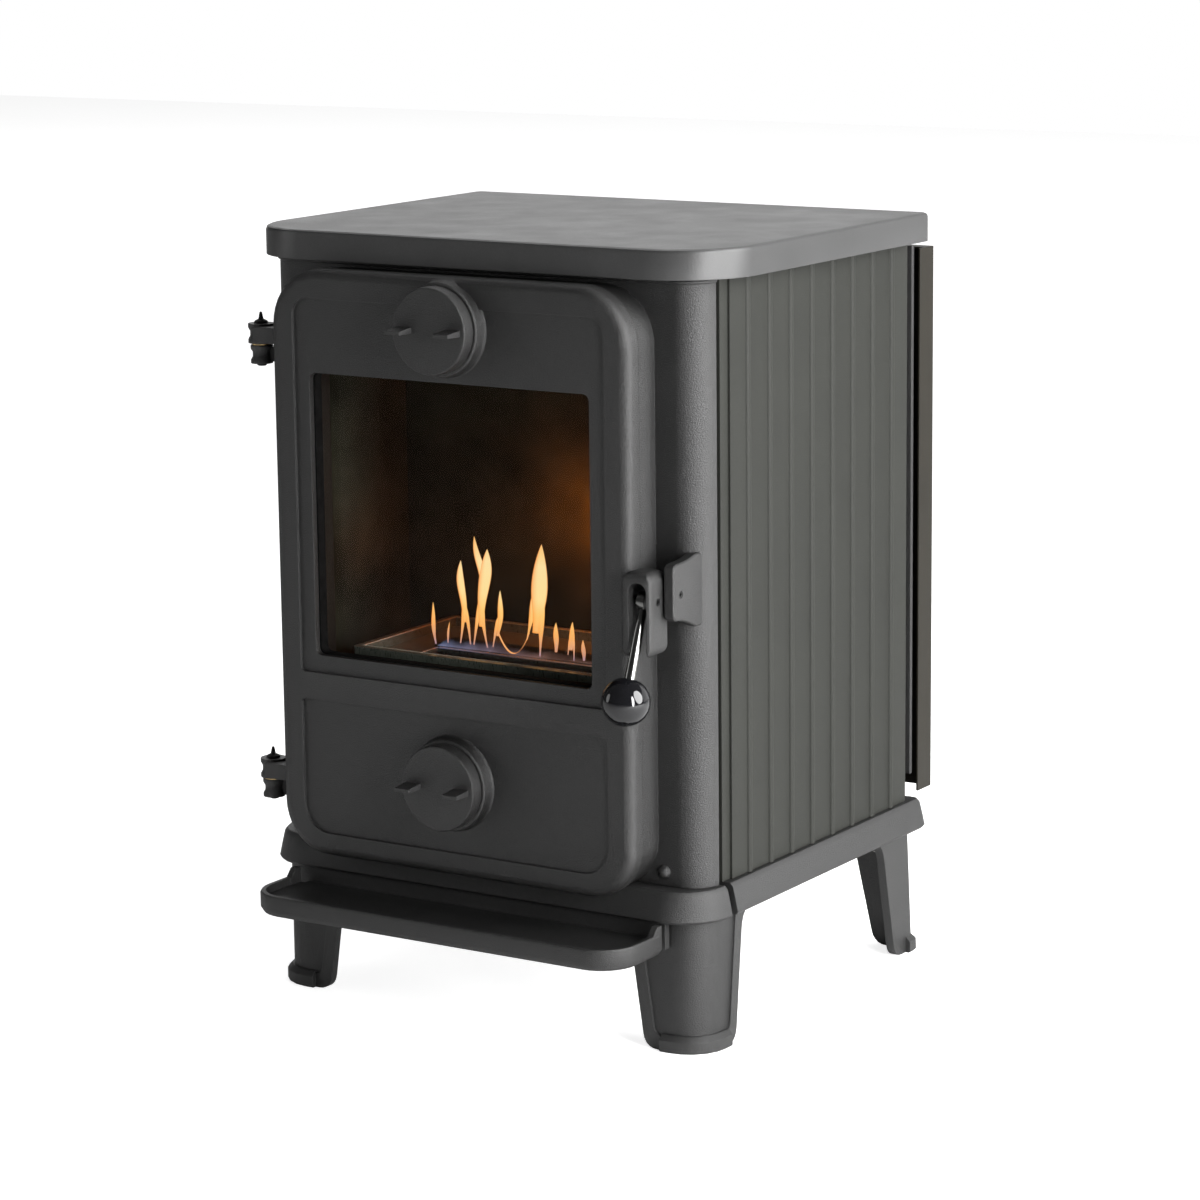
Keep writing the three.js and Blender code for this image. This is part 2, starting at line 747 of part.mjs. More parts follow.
function frontFrame() {
  const shell = prismZ(columnPlan(), bodyBottom, bodyTop, 8);
  const landing = prismY(doorShape(LANDING_INSET), landingFront, CAST_WALL / 2, 5)
    .translate([DOOR_CENTRE_X, 0, 0]);
  const clear = bodyBottom + CAST_WALL / 2;
  const standing = cut(landing, box(-bodyHalf, bodyHalf, -CAST_WALL * 5, CAST_WALL * 2, 0, bodyBottom));
  const opening = prismY(
    roundedRectangle(
      -doorHalf + LANDING_INSET + LANDING_WALL,
      doorHalf - LANDING_INSET - LANDING_WALL,
      clear + LANDING_WALL,
      doorTop - LANDING_INSET - LANDING_WALL,
      DOOR_BOTTOM_RADIUS - LANDING_WALL,
      DOOR_TOP_RADIUS - LANDING_WALL,
    ),
    landingFront - 5,
    CAST_WALL + 5,
    4,
  ).translate([DOOR_CENTRE_X, 0, 0]);
  const hinges = [upperHingeZ, lowerHingeZ].map(
    (z) => bodyKnuckle().translate([DOOR_CENTRE_X + hingeX, HINGE_AXIS_Y, z]));
  return cut(joined(shell, standing, catchBracket(), headBead(), footBoss(), ...hinges), opening);
}

// ---------------------------------------------------------------- base

function baseShell() {
  const plan = {
    left: -baseHalf,
    right: baseHalf,
    front: baseFront,
    back: baseBack,
    radii: [BASE_CORNER_RADIUS, BASE_BACK_RADIUS, BASE_BACK_RADIUS, BASE_CORNER_RADIUS],
    steps: 7,
  };
  const outer = loftPlan(plan, [
    [LEG_HEIGHT, BASE_FLARE - 1.6],
    [LEG_HEIGHT + 0.08 * BASE_HEIGHT, BASE_FLARE],
    [LEG_HEIGHT + 0.5 * BASE_HEIGHT, 0.6 * BASE_FLARE],
    [LEG_HEIGHT + 0.88 * BASE_HEIGHT, 0.2 * BASE_FLARE],
    [baseTop, -1.4],
  ]);
  const hollow = loftPlan(plan, [[LEG_HEIGHT - 1, -CAST_WALL], [baseTop - CAST_WALL, -CAST_WALL]]);
  return cut(outer, hollow);
}

const wide = 2 * BODY_WIDTH;

function baseFrontCasting() {
  const behind = box(-wide, wide, COLUMN_RADIUS + 2, wide, 0, plateTop);
  const apronFoot = lipBottom + 2;
  const apron = box(
    1 - lipHalf, lipHalf - 1,
    baseFront, apronBack, apronFoot, LEG_HEIGHT + CAST_WALL);
  const whole = joined(cut(baseShell(), behind), apron);
  return cut(whole, ...lipBoltPlaces().map((x) => rodY(LEG_BOLT_RADIUS + FIT_GAP, -wide / 4, wide / 4)
    .translate([x, 0, (lipBottom + lipFloor) / 2])));
}

function basePlate() {
  const ahead = box(-wide, wide, -wide, panelFront + 2, 0, plateTop);
  const tongueTop = baseTop - CAST_WALL - FIT_GAP;
  const tongueFront = baseFront + CAST_WALL + 8;
  const tongue = box(
    -TONGUE_HALF_WIDTH, TONGUE_HALF_WIDTH,
    tongueFront, tongueFront + TONGUE_LENGTH, tongueTop - CAST_WALL, tongueTop);
  const riser = box(
    -TONGUE_HALF_WIDTH, TONGUE_HALF_WIDTH,
    panelFront + 2, tongueFront + TONGUE_LENGTH, tongueTop - 1, baseTop - 1);
  return joined(cut(baseShell(), ahead), tongue, riser);
}

// ---------------------------------------------------------------- legs

// One leg at the right: two walls about an outer corner, a web over them and a pad for its bolt.
function leg({ outerX, outerY, towardsBack, walls, radius, splay, sunk, pad }) {
  const top = LEG_HEIGHT - FIT_GAP;
  const level = (z, grow, reach) => {
    const corner = outerY + towardsBack * splay * (1 - z / top);
    const plan = {
      left: outerX - reach,
      right: outerX,
      front: towardsBack > 0 ? corner - reach : corner,
      back: towardsBack > 0 ? corner : corner + reach,
      radii: towardsBack > 0 ? [1, radius, 1, 1] : [radius, 1, 1, 1],
      steps: 5,
    };
    return { z, points: planOutline(plan, grow) };
  };
  const reach = 2 * FRONT_LEG_WIDTH;
  const stem = loft([level(0, 0, reach), level(top, 0, reach)]);
  const hollow = loft([level(-1, -LEG_WALL, 2 * reach), level(top - CAST_WALL, -LEG_WALL, 2 * reach)]);
  const along = {
    x: (distance) => outerX - distance,
    y: (distance) => outerY - towardsBack * distance,
  };
  const trimmed = withinWalls(cut(stem, hollow), walls, along, 0);
  const skin = cut(
    loft([level(-1, 1, reach), level(top + 1, 1, reach)]),
    loft([level(-2, -LEG_PANEL_DEPTH, 2 * reach), level(top + 2, -LEG_PANEL_DEPTH, 2 * reach)]),
  );
  const panelled = sunk ? cut(trimmed, withinWalls(skin, walls, along, LEG_BORDER)) : trimmed;
  const boltPad = rodZ(pad.radius, top - CAST_WALL - LEG_PAD_DROP, baseTop - CAST_WALL - FIT_GAP, 20)
    .translate([pad.x, pad.y, 0]);
  const hole = rodZ(LEG_BOLT_RADIUS + FIT_GAP, 0, baseTop - CAST_WALL + 1, 12)
    .translate([pad.x, pad.y, 0]);
  const lip = footLip(level, hollow, { outerX, outerY, towardsBack, radius, splay });
  return cut(joined(panelled, lip, boltPad), hole);
}

// Trims a leg to the outlines of its two walls, both drawn in by the inset.
function withinWalls(body, walls, along, inset) {
  const far = 2 * BODY_WIDTH;
  const front = prismY(wallOutline(along.x, walls.width, walls.footWidth, inset), -far, far, 5);
  const side = prismX(wallOutline(along.y, walls.depth, walls.footDepth, inset), -far, far, 5);
  return body.intersect(front).intersect(side);
}

// A leg's wall seen square on: straight at its outer corner, narrower and rounded at its foot,
// and filleted out to the base's underside.
function wallOutline(along, headReach, footReach, inset) {
  const top = inset > 0 ? LEG_HEIGHT + inset : LEG_HEIGHT;
  const foot = footReach - inset;
  const slope = (headReach - footReach) / LEG_HEIGHT;
  const round = LEG_FOOT_RADIUS - inset / 2;
  const fillet = inset > 0 ? 1 : LEG_HEAD_FILLET;
  const low = inset > 0 ? inset + 1 : 0;
  const edge = (z) => foot + slope * z;
  const outside = -LEG_HEAD_FILLET;
  const shape = new THREE.Shape();
  shape.moveTo(along(outside), low);
  shape.lineTo(along(foot - round), low);
  shape.quadraticCurveTo(along(edge(low)), low, along(edge(low + round)), low + round);
  shape.lineTo(along(edge(top - fillet)), top - fillet);
  shape.quadraticCurveTo(along(edge(top)), top, along(edge(top) + 0.8 * fillet), top);
  shape.lineTo(along(outside), top);
  return shape;
}

// The thickened edge around the outer corner of a leg's foot.
function footLip(level, hollow, { outerX, outerY, towardsBack, radius, splay }) {
  const reach = 2 * FRONT_LEG_WIDTH;
  const ring = loft([
    level(0, FOOT_LIP - 1, reach),
    level(1, FOOT_LIP, reach),
    level(FOOT_HEIGHT, FOOT_LIP, reach),
    level(FOOT_HEIGHT + FOOT_LIP, 0, reach),
  ]);
  const span = radius + FOOT_LIP_SPAN;
  const past = 2 * (splay + FOOT_LIP) + 1;
  const near = box(outerX - span, outerX + past,
    towardsBack > 0 ? outerY - span + splay : outerY - past,
    towardsBack > 0 ? outerY + past : outerY + span,
    -1, FOOT_HEIGHT + 2 * FOOT_LIP);
  return cut(ring.intersect(near), hollow);
}

function frontLeg() {
  return leg({
    outerX: baseHalf - FRONT_LEG_INSET_X,
    outerY: baseFront + FRONT_LEG_INSET_Y,
    towardsBack: -1,
    walls: {
      width: FRONT_LEG_WIDTH,
      footWidth: FRONT_FOOT_WIDTH,
      depth: FRONT_LEG_DEPTH,
      footDepth: FRONT_FOOT_DEPTH,
    },
    radius: FRONT_LEG_RADIUS,
    splay: 0,
    sunk: true,
    pad: frontPad,
  });
}

function rearLeg() {
  return leg({
    outerX: baseHalf - REAR_LEG_INSET_X,
    outerY: baseBack - REAR_LEG_INSET_Y,
    towardsBack: 1,
    walls: {
      width: REAR_LEG_WIDTH,
      footWidth: REAR_FOOT_WIDTH,
      depth: REAR_LEG_DEPTH,
      footDepth: REAR_FOOT_DEPTH - REAR_LEG_SPLAY,
    },
    radius: REAR_LEG_RADIUS,
    splay: REAR_LEG_SPLAY,
    sunk: false,
    pad: rearPad,
  });
}

const padRadius = LEG_BOLT_RADIUS + LEG_PAD_WALL;
const frontPad = {
  radius: padRadius,
  x: baseHalf - CAST_WALL - padRadius - FRONT_PAD_INSET_X,
  y: baseFront + CAST_WALL + padRadius + FRONT_PAD_INSET_Y,
};
const rearPad = {
  radius: padRadius,
  x: baseHalf - CAST_WALL - padRadius - REAR_PAD_INSET_X,
  y: baseBack - CAST_WALL - padRadius - REAR_PAD_INSET_Y,
};

// A hexagon-headed bolt pointing up, its head's top face at z = 0.
function upwardBolt(shank) {
  const head = rodZ(NUT_RADIUS, -NUT_HEIGHT, 0, 6);
  return joined(head, rodZ(LEG_BOLT_RADIUS, -1, shank, 12));
}

// ---------------------------------------------------------------- ash lip

function lipBoltPlaces() {
  return [-LIP_BOLT_SPACING / 2, LIP_BOLT_SPACING / 2];
}

function ashLip() {
  const back = baseFront - BASE_FLARE - FIT_GAP;
  const plan = {
    left: -lipHalf,
    right: lipHalf,
    front: -LIP_REACH,
    back,
    radii: [LIP_CORNER_RADIUS, 1, 1, LIP_CORNER_RADIUS],
    steps: 8,
  };
  const outer = loftPlan(plan, [
    [lipBottom, -2.5],
    [lipBottom + 4, 0],
    [lipTop - 1.5, 0],
    [lipTop, -1],
  ]);
  const openPlan = { ...plan, back: back + 2 * LIP_RIM_WIDTH };
  const tray = loftPlan(openPlan, [[lipFloor, -LIP_RIM_WIDTH], [lipTop + 1, -LIP_RIM_WIDTH + 0.6]]);
  const wallBack = { ...plan, back: back - LIP_FLOOR_THICKNESS + LIP_RIM_WIDTH + 2 };
  const under = loftPlan(wallBack, [
    [lipBottom - 1, -LIP_RIM_WIDTH - 2],
    [lipFloor - LIP_FLOOR_THICKNESS, -LIP_RIM_WIDTH - 2],
  ]);
  const tab = (side) => {
    const outerX = lipHalf - 0.6;
    const shape = polygon([
      [back, lipFloor],
      [back, lipTop + LIP_TAB_HEIGHT],
      [back - LIP_TAB_LENGTH / 2, lipTop + LIP_TAB_HEIGHT],
      [back - LIP_TAB_LENGTH, lipTop - 0.5],
      [back - LIP_TAB_LENGTH, lipFloor],
    ].reverse());
    const low = outerX - LIP_RIM_WIDTH;
    return side > 0 ? prismX(shape, low, outerX) : prismX(shape, -outerX, -low);
  };
  const neck = box(-lipHalf + LEG_BORDER, lipHalf - LEG_BORDER,
    back - LIP_RIM_WIDTH, baseFront - FIT_GAP, lipBottom + 2, lipFloor);
  const whole = joined(cut(outer, tray, under), tab(1), tab(-1), neck);
  const holeFront = back - LIP_RIM_WIDTH - LIP_TAB_LENGTH;
  const holes = lipBoltPlaces().map((x) => rodY(LEG_BOLT_RADIUS + FIT_GAP, holeFront, 0)
    .translate([x, 0, (lipBottom + lipFloor) / 2]));
  return cut(whole, ...holes);
}

// A bolt that runs to the back through the lip's neck and the apron.
function lipBolt() {
  const headFront = apronBack + FIT_GAP;
  const head = rodY(NUT_RADIUS, headFront, headFront + NUT_HEIGHT, 6);
  const shank = rodY(LEG_BOLT_RADIUS, baseFront - BASE_FLARE - 6, headFront + 1, 12);
  return joined(head, shank).translate([0, 0, (lipBottom + lipFloor) / 2]);
}

// ---------------------------------------------------------------- door

function valveHole(z) {
  return rodY(COLLAR_BORE, doorFace - COLLAR_HEIGHT - 5, doorBack + 5, 24).translate([0, 0, z]);
}

function valveCollar(z) {
  const profile = [
    [0, collarFace],
    [COLLAR_RADIUS - 1, collarFace],
    [COLLAR_RADIUS, collarFace + 1],
    [COLLAR_RADIUS + 0.4, plateFloor() - 2],
    [COLLAR_RADIUS + COLLAR_FOOT, plateFloor()],
    [COLLAR_RADIUS + COLLAR_FOOT, plateBack - 1],
    [0, plateBack - 1],
  ];
  const points = profile.map(([radius, y]) => new THREE.Vector2(radius, y));
  return solid(new THREE.LatheGeometry(points, 32)).translate([0, 0, z]);
}

function plateFloor() {
  return doorFace + RECESS_DEPTH;
}

// The bar across a valve's opening that carries its stud.
function valveBridge(z) {
  const half = BRIDGE_WIDTH / 2;
  const bar = box(-COLLAR_BORE - 1, COLLAR_BORE + 1, plateFloor(), plateBack, z - half, z + half);
  const hole = rodY(STUD_RADIUS + FIT_GAP, doorFace - 5, doorBack, 16).translate([0, 0, z]);
  return { bar, hole };
}

function doorLug() {
  const eye = waistedEye(LUG_RADIUS, LUG_HEIGHT);
  const armFront = doorBack - HINGE_AXIS_Y - HINGE_ARM + 1;
  const arm = box(1, HINGE_OFFSET_X + DOOR_RIM_BACK / 2, armFront, doorBack - HINGE_AXIS_Y,
    HINGE_ARM_STEP, LUG_HEIGHT - HINGE_ARM_STEP);
  return cut(joined(eye, arm), pinHole(0, LUG_HEIGHT)).translate([hingeX, HINGE_AXIS_Y, lugBottom]);
}

function latchCase() {
  const sideView = prismX(
    roundedRectangle(caseFront, doorBack, caseBottom, caseTop, CASE_BACK_RADIUS),
    caseLeft - 1, caseRight + 1, 3);
  const body = roundFacedY(
    roundedRectangle(caseLeft, caseRight, caseBottom, caseTop, 9), caseFront, doorBack, 3, 2.5, 2,
  ).intersect(sideView);
  const slotHalf = CASE_SLOT_WIDTH / 2;
  const slot = prismY(
    roundedRectangle(slotX - slotHalf, slotX + slotHalf,
      caseBottom - CASE_HEIGHT, caseTop - CASE_SLOT_TOP, slotHalf - 0.5),
    caseFront - 5, doorBack + 5, 4);
  const axleHole = rodX(AXLE_RADIUS + FIT_GAP, slotX - slotHalf - 2.5, caseRight + 5)
    .translate([0, axleY, axleZ]);
  return { body, slot, axleHole };
}

function recess(bottom, top, footRadius, headRadius) {
  const half = doorHalf - DOOR_RIM_FRONT;
  return prismY(
    roundedRectangle(-half, half, bottom, top, footRadius, headRadius),
    doorFace - 1, plateFloor(), 3);
}

function ropeRing(y0, y1, grow) {
  const outer = prismY(doorShape(ROPE_INSET - grow), y0, y1, 3);
  const inner = prismY(doorShape(ROPE_INSET + ROPE_WIDTH + grow), y0 - 1, y1 + 1, 3);
  return cut(outer, inner);
}

function windowHole(inset, y0, y1) {
  return prismY(
    roundedRectangle(-windowHalf + inset, windowHalf - inset,
      windowBottom + inset, windowTop - inset, WINDOW_RADIUS),
    y0, y1, 2);
}

function clipPlaces() {
  const x = windowHalf - CLIP_INSET;
  const above = windowTop + GLASS_OVERLAP;
  const below = windowBottom - GLASS_OVERLAP;
  return [
    { name: 'glass_clip_upper_left', x: -x, z: above, up: 1 },
    { name: 'glass_clip_upper_right', x, z: above, up: 1 },
    { name: 'glass_clip_lower_left', x: -x, z: below, up: -1 },
    { name: 'glass_clip_lower_right', x, z: below, up: -1 },
  ];
}

const bossRadius = 5;
const bossOffset = bossRadius + 2;

function doorCasting() {
  const slab = roundFacedY(doorShape(0), doorFace, doorBack, 5, DOOR_EDGE_ROUND, 3);
  const pocket = prismY(doorShape(DOOR_RIM_BACK), plateBack, doorBack + 5, 3);
  const lowerTop = doorBottom + LOWER_RECESS_FOOT + LOWER_RECESS_HEIGHT;
  const lower = recess(doorBottom + LOWER_RECESS_FOOT, lowerTop, LOWER_RECESS_RADIUS, 4);
  const upper = recess(lowerTop + RECESS_BAR, doorTop - DOOR_RIM_FRONT - 1, 4, RECESS_RADIUS);
  const bosses = clipPlaces().map(({ x, z, up }) => rodY(bossRadius, plateBack - 1, glassBack, 10)
    .translate([x, 0, z + up * bossOffset]));
  const screwHoles = clipPlaces().map(({ x, z, up }) => rodY(SCREW_RADIUS + FIT_GAP, plateBack + 2,
    glassBack + 1, 8).translate([x, 0, z + up * bossOffset]));
  const valves = [upperValveZ, lowerValveZ];
  const bridges = valves.map(valveBridge);
  const latch = latchCase();
  const lugs = [upperHingeZ, lowerHingeZ].map((z) => doorLug().translate([0, 0, z]));
  const plate = joined(cut(slab, pocket, upper, lower), ...valves.map(valveCollar), latch.body);
  const opened = cut(plate, ...valves.map(valveHole), windowHole(0, doorFace - 5, doorBack + 5));
  const grown = joined(opened, ...bridges.map((bridge) => bridge.bar), ...bosses, ...lugs);
  return cut(
    grown,
    ...bridges.map((bridge) => bridge.hole),
    ...screwHoles,
    latch.slot,
    latch.axleHole,
    ropeRing(doorBack - ROPE_GROOVE, doorBack + 1, 0.4),
  );
}

function doorGlass() {
  const inset = -GLASS_OVERLAP;
  return prismY(
    roundedRectangle(-windowHalf + inset, windowHalf - inset,
      windowBottom + inset, windowTop - inset, 2),
    glassFront, glassBack, 2);
}

function glassGasket() {
  const y0 = plateBack + FIT_GAP;
  const outer = prismY(
    roundedRectangle(-windowHalf - GLASS_OVERLAP, windowHalf + GLASS_OVERLAP,
      windowBottom - GLASS_OVERLAP, windowTop + GLASS_OVERLAP, 4),
    y0, gasketBack, 2, 2, 1);
  return cut(outer, windowHole(1, y0 - 1, gasketBack + 1));
}

// A clip with its screw, standing on the boss and reaching over the glass.
function glassClip(up) {
  const y0 = glassBack + FIT_GAP;
  const half = CLIP_WIDTH / 2;
  const inner = -GLASS_OVERLAP + 1.5;
  const outerEdge = bossOffset + bossRadius;
  const low = up > 0 ? inner : -outerEdge;
  const high = up > 0 ? outerEdge : -inner;
  const plate = prismY(roundedRectangle(-half, half, low, high, 2), y0, y0 + CLIP_THICKNESS, 3);
  const head = rodY(bossRadius, y0 + CLIP_THICKNESS - 0.5, y0 + CLIP_THICKNESS + 2, 6);
  const shank = rodY(SCREW_RADIUS, plateBack + 3, y0 + 1, 10);
  return joined(plate, joined(head, shank).translate([0, 0, up * bossOffset]));
}

// ---------------------------------------------------------------- air valves

// The threaded stud, turned about Y, with its nut behind the bridge.
function airStud() {
  const tip = collarFace - VALVE_THICKNESS + 1.5;
  const shank = rodY(STUD_RADIUS, tip, plateBack + 1, 16);
  const nut = rodY(NUT_RADIUS, plateBack + FIT_GAP, plateBack + FIT_GAP + 5, 6);
  return joined(shank, nut);
}

function washerFront() {
  return collarFace + FIT_GAP;
}

// The washer under the wheel; flats on it and on the stud keep it from turning.
function airWasher() {
  const front = washerFront();
  const ring = rodY(VALVE_WASHER_RADIUS, front, front + VALVE_WASHER_THICKNESS, 20);
  return cut(ring, rodY(STUD_RADIUS + THREAD_CLEARANCE, front - 1, front + 5, 16));
}

function wheelTab(side) {
  const face = wheelFace();
  const shape = polygon([
    [face + 2, -TAB_ROOT / 2],
    [face + 2, TAB_ROOT / 2],
    [face, TAB_ROOT / 2],
    [face - TAB_LENGTH, TAB_TIP / 2 - TAB_DROOP],
    [face - TAB_LENGTH, -TAB_TIP / 2 - TAB_DROOP],
    [face, -TAB_ROOT / 2],
  ].reverse());
  const centre = side * TAB_SPACING / 2;
  return prismX(shape, centre - TAB_WIDTH / 2, centre + TAB_WIDTH / 2);
}

function wheelFace() {
  return collarFace - 2 * FIT_GAP - VALVE_THICKNESS;
}

function airWheel() {
  const face = wheelFace();
  const back = face + VALVE_THICKNESS;
  const profile = [
    [0, face],
    [VALVE_RADIUS - 1.6, face],
    [VALVE_RADIUS - 0.5, face + 0.5],
    [VALVE_RADIUS, face + 1.6],
    [VALVE_RADIUS, back],
    [0, back],
  ];
  const points = profile.map(([radius, y]) => new THREE.Vector2(radius, y));
  const disc = solid(new THREE.LatheGeometry(points, 32));
  const thread = rodY(STUD_RADIUS + THREAD_CLEARANCE, collarFace - VALVE_THICKNESS + 1, back + 1, 16);
  return cut(joined(disc, wheelTab(-1), wheelTab(1)), thread);
}

// ---------------------------------------------------------------- hinge pins

// A pin with a pointed head, standing in the knuckle and the lug.
function hingePin() {
  const head = lugBottom + LUG_HEIGHT + FIT_GAP;
  return turned([
    [0, -KNUCKLE_HEIGHT - 2],
    [PIN_RADIUS - 1, -KNUCKLE_HEIGHT - 2],
    [PIN_RADIUS, -KNUCKLE_HEIGHT - 1],
    [PIN_RADIUS, head],
    [PIN_RADIUS + 1.5, head],
    [PIN_RADIUS + 1, head + 1.5],
    [PIN_RADIUS - 2, head + 3],
    [1, head + PIN_TIP],
    [0, head + PIN_TIP + 0.6],
  ], 16);
}

function hingeWasher() {
  const ring = rodZ(KNUCKLE_RADIUS - 1, 0, HINGE_WASHER_THICKNESS - FIT_GAP, 20);
  return cut(ring, pinHole(0, 1)).translate([0, 0, FIT_GAP]);
}

// ---------------------------------------------------------------- latch

// A pin along X with a cross sunk in its right end.
function crossedPin(radius, left, right) {
  const half = CROSS_SLOT_WIDTH / 2;
  const arm = CROSS_SLOT_LENGTH / 2;
  const deep = right - CROSS_SLOT_DEPTH;
  return cut(
    rodX(radius, left, right, 14),
    box(deep, right + 1, -half, half, -arm, arm),
    box(deep, right + 1, -arm, arm, -half, half),
  );
}

function latchAxle() {
  const left = slotX - CASE_SLOT_WIDTH / 2 - 2;
  return crossedPin(AXLE_RADIUS, left, caseRight - FIT_GAP);
}

// The lever about its axle: hub and tapered arm to the ball.
function latchLever() {
  const half = LEVER_WIDTH / 2;
  const hub = rodX(HUB_RADIUS, slotX - half, hookLeft - FIT_GAP, 20);
  const reach = Math.hypot(BALL_DROP, BALL_FORWARD);
  const end = reach - 0.9 * BALL_RADIUS;
  const arm = turned([
    [0, HUB_RADIUS / 3],
    [LEVER_TOP_RADIUS, HUB_RADIUS / 3],
    [LEVER_END_RADIUS, end],
    [0, end],
  ], 14);
  const placed = arm.rotate([180, 0, 0]).rotate([-leverLean(), 0, 0])
    .translate([slotX - half / 4, 0, 0])
    .subtract(box(hookLeft - FIT_GAP, slotX + 2 * half,
      -HUB_RADIUS, HUB_RADIUS, -HUB_RADIUS, HUB_RADIUS));
  return cut(joined(hub, placed), axleBore());
}

function axleBore() {
  return rodX(AXLE_RADIUS + PIN_CLEARANCE, slotX - CASE_WIDTH, slotX + CASE_WIDTH, 14);
}

// The hook beside the lever's hub: it points to the back and its nose rises behind the catch pin.
function latchHook() {
  const noseTop = CATCH_PIN_RISE - CATCH_PIN_RADIUS - CATCH_CLEARANCE;
  const floor = noseTop - HOOK_NOSE;
  const nose = hookReach - HOOK_NOSE_LENGTH;
  const bar = prismX(polygon([
    [0, floor - HOOK_THICKNESS],
    [hookReach - HOOK_NOSE_LENGTH / 3, floor - HOOK_THICKNESS],
    [hookReach, floor - HOOK_THICKNESS / 2],
    [hookReach, noseTop - HOOK_NOSE_LENGTH / 3],
    [hookReach - HOOK_NOSE_LENGTH / 3, noseTop],
    [nose, noseTop],
    [nose, floor],
    [0, floor],
  ]), hookLeft, hookRight);
  const hub = rodX(HUB_RADIUS, hookLeft, hookRight, 20);
  return cut(joined(hub, bar), axleBore());
}

// How far the lever's arm leans forward from straight down, in degrees.
function leverLean() {
  return THREE.MathUtils.radToDeg(Math.atan2(BALL_FORWARD, BALL_DROP));
}

// The ball, with a flat where the lever enters, at the lever's end.
function latchBall() {
  const flat = BALL_RADIUS - BALL_FLAT;
  const profile = [[0, flat]];
  const start = Math.acos(flat / BALL_RADIUS);
  const steps = 10;
  for (let step = 0; step <= steps; step += 1) {
    const angle = start + (Math.PI - start) * (step / steps);
    const radius = step === steps ? 0 : BALL_RADIUS * Math.sin(angle);
    profile.push([radius, BALL_RADIUS * Math.cos(angle)]);
  }
  const ball = turned(profile.reverse(), 24);
  const bore = rodZ(LEVER_END_RADIUS + 0.4, 0, BALL_RADIUS + 1, 14);
  return cut(ball, bore).rotate([-leverLean(), 0, 0]);
}

function catchPin() {
  const left = DOOR_CENTRE_X + hookLeft - 1;
  return crossedPin(CATCH_PIN_RADIUS, left, bracketRight - FIT_GAP);
}

// ---------------------------------------------------------------- rear plate and shield

function backPlate() {
  const outer = bodyHalf - BACK_SIDE_INSET;
  const web = bodyHalf - WEB_INSET;
  const front = backFront - WEB_DEPTH;
  const shape = polygon([
    [-outer, backRear],
    [-outer, backFront],
    [-web, backFront],
    [-web, front],
    [-web + WEB_THICKNESS, front],
    [-web + WEB_THICKNESS, backFront],
    [web - WEB_THICKNESS, backFront],
    [web - WEB_THICKNESS, front],
    [web, front],
    [web, backFront],
    [outer, backFront],
    [outer, backRear],
  ]);
  const sheet = prismZ(shape, baseTop + BACK_LIFT, rimBottom - BACK_TOP_GAP);
  const holes = standoffPlaces().map(({ x, z }) => rodY(SCREW_RADIUS + FIT_GAP, backFront - 1,
    backRear + 1, 12).translate([x, 0, z]));
  return cut(sheet, ...holes);
}

function standoffPlaces() {
  const x = bodyHalf - STANDOFF_MARGIN_X;
  const low = baseTop + STANDOFF_MARGIN_Z;
  const high = rimBottom - STANDOFF_MARGIN_Z;
  return [
    { name: 'shield_standoff_lower_left', x: -x, z: low },
    { name: 'shield_standoff_lower_right', x, z: low },
    { name: 'shield_standoff_upper_left', x: -x, z: high },
    { name: 'shield_standoff_upper_right', x, z: high },
  ];
}

function heatShield() {
  const sheet = SHIELD_SHEET;
  const shape = polygon([
    [-bodyHalf, shieldRear],
    [-bodyHalf, shieldFront],
    [-bodyHalf + sheet, shieldFront],
    [-bodyHalf + sheet, shieldRear - sheet],
    [bodyHalf - sheet, shieldRear - sheet],
    [bodyHalf - sheet, shieldFront],
    [bodyHalf, shieldFront],
    [bodyHalf, shieldRear],
  ]);
  const top = rimBottom - SHIELD_TOP_GAP;
  const body = prismZ(shape, baseTop + SHIELD_LIFT, top);
  const lid = box(-bodyHalf + sheet / 2, bodyHalf - sheet / 2,
    shieldRear - SHIELD_LID_DEPTH, shieldRear - sheet / 2, top - sheet, top);
  const holes = standoffPlaces().map(({ x, z }) => rodY(SCREW_RADIUS + FIT_GAP, shieldRear - 5,
    shieldRear + 1, 12).translate([x, 0, z]));
  return cut(joined(body, lid), ...holes);
}

// Spacer and screw in one, between the back plate and the shield.
function shieldStandoff() {
  const spacer = rodY(STANDOFF_RADIUS, backRear + FIT_GAP, shieldRear - SHIELD_SHEET - FIT_GAP, 12);
  const screw = rodY(SCREW_RADIUS, backFront - 3, shieldRear + 1, 10);
  const head = rodY(STANDOFF_RADIUS, shieldRear + FIT_GAP, shieldRear + SCREW_HEAD, 6);
  return joined(spacer, screw, head);
}

// ---------------------------------------------------------------- firebox

function fireboxSide() {
  const inner = linerHalf;
  return box(inner, inner + LINER_THICKNESS, FIREBOX_FRONT, fireboxBack + LINER_THICKNESS,
    bodyBottom, fireboxTop - FIT_GAP);
}

function fireboxBackWall() {
  const half = linerHalf - FIT_GAP;
  return box(-half, half, fireboxBack, fireboxBack + LINER_THICKNESS, bodyBottom, fireboxTop - FIT_GAP);
}

function fireboxLid() {
  const half = linerHalf + LINER_THICKNESS;
  return box(-half, half, FIREBOX_FRONT, fireboxBack + LINER_THICKNESS,
    fireboxTop, fireboxTop + LINER_THICKNESS);
}

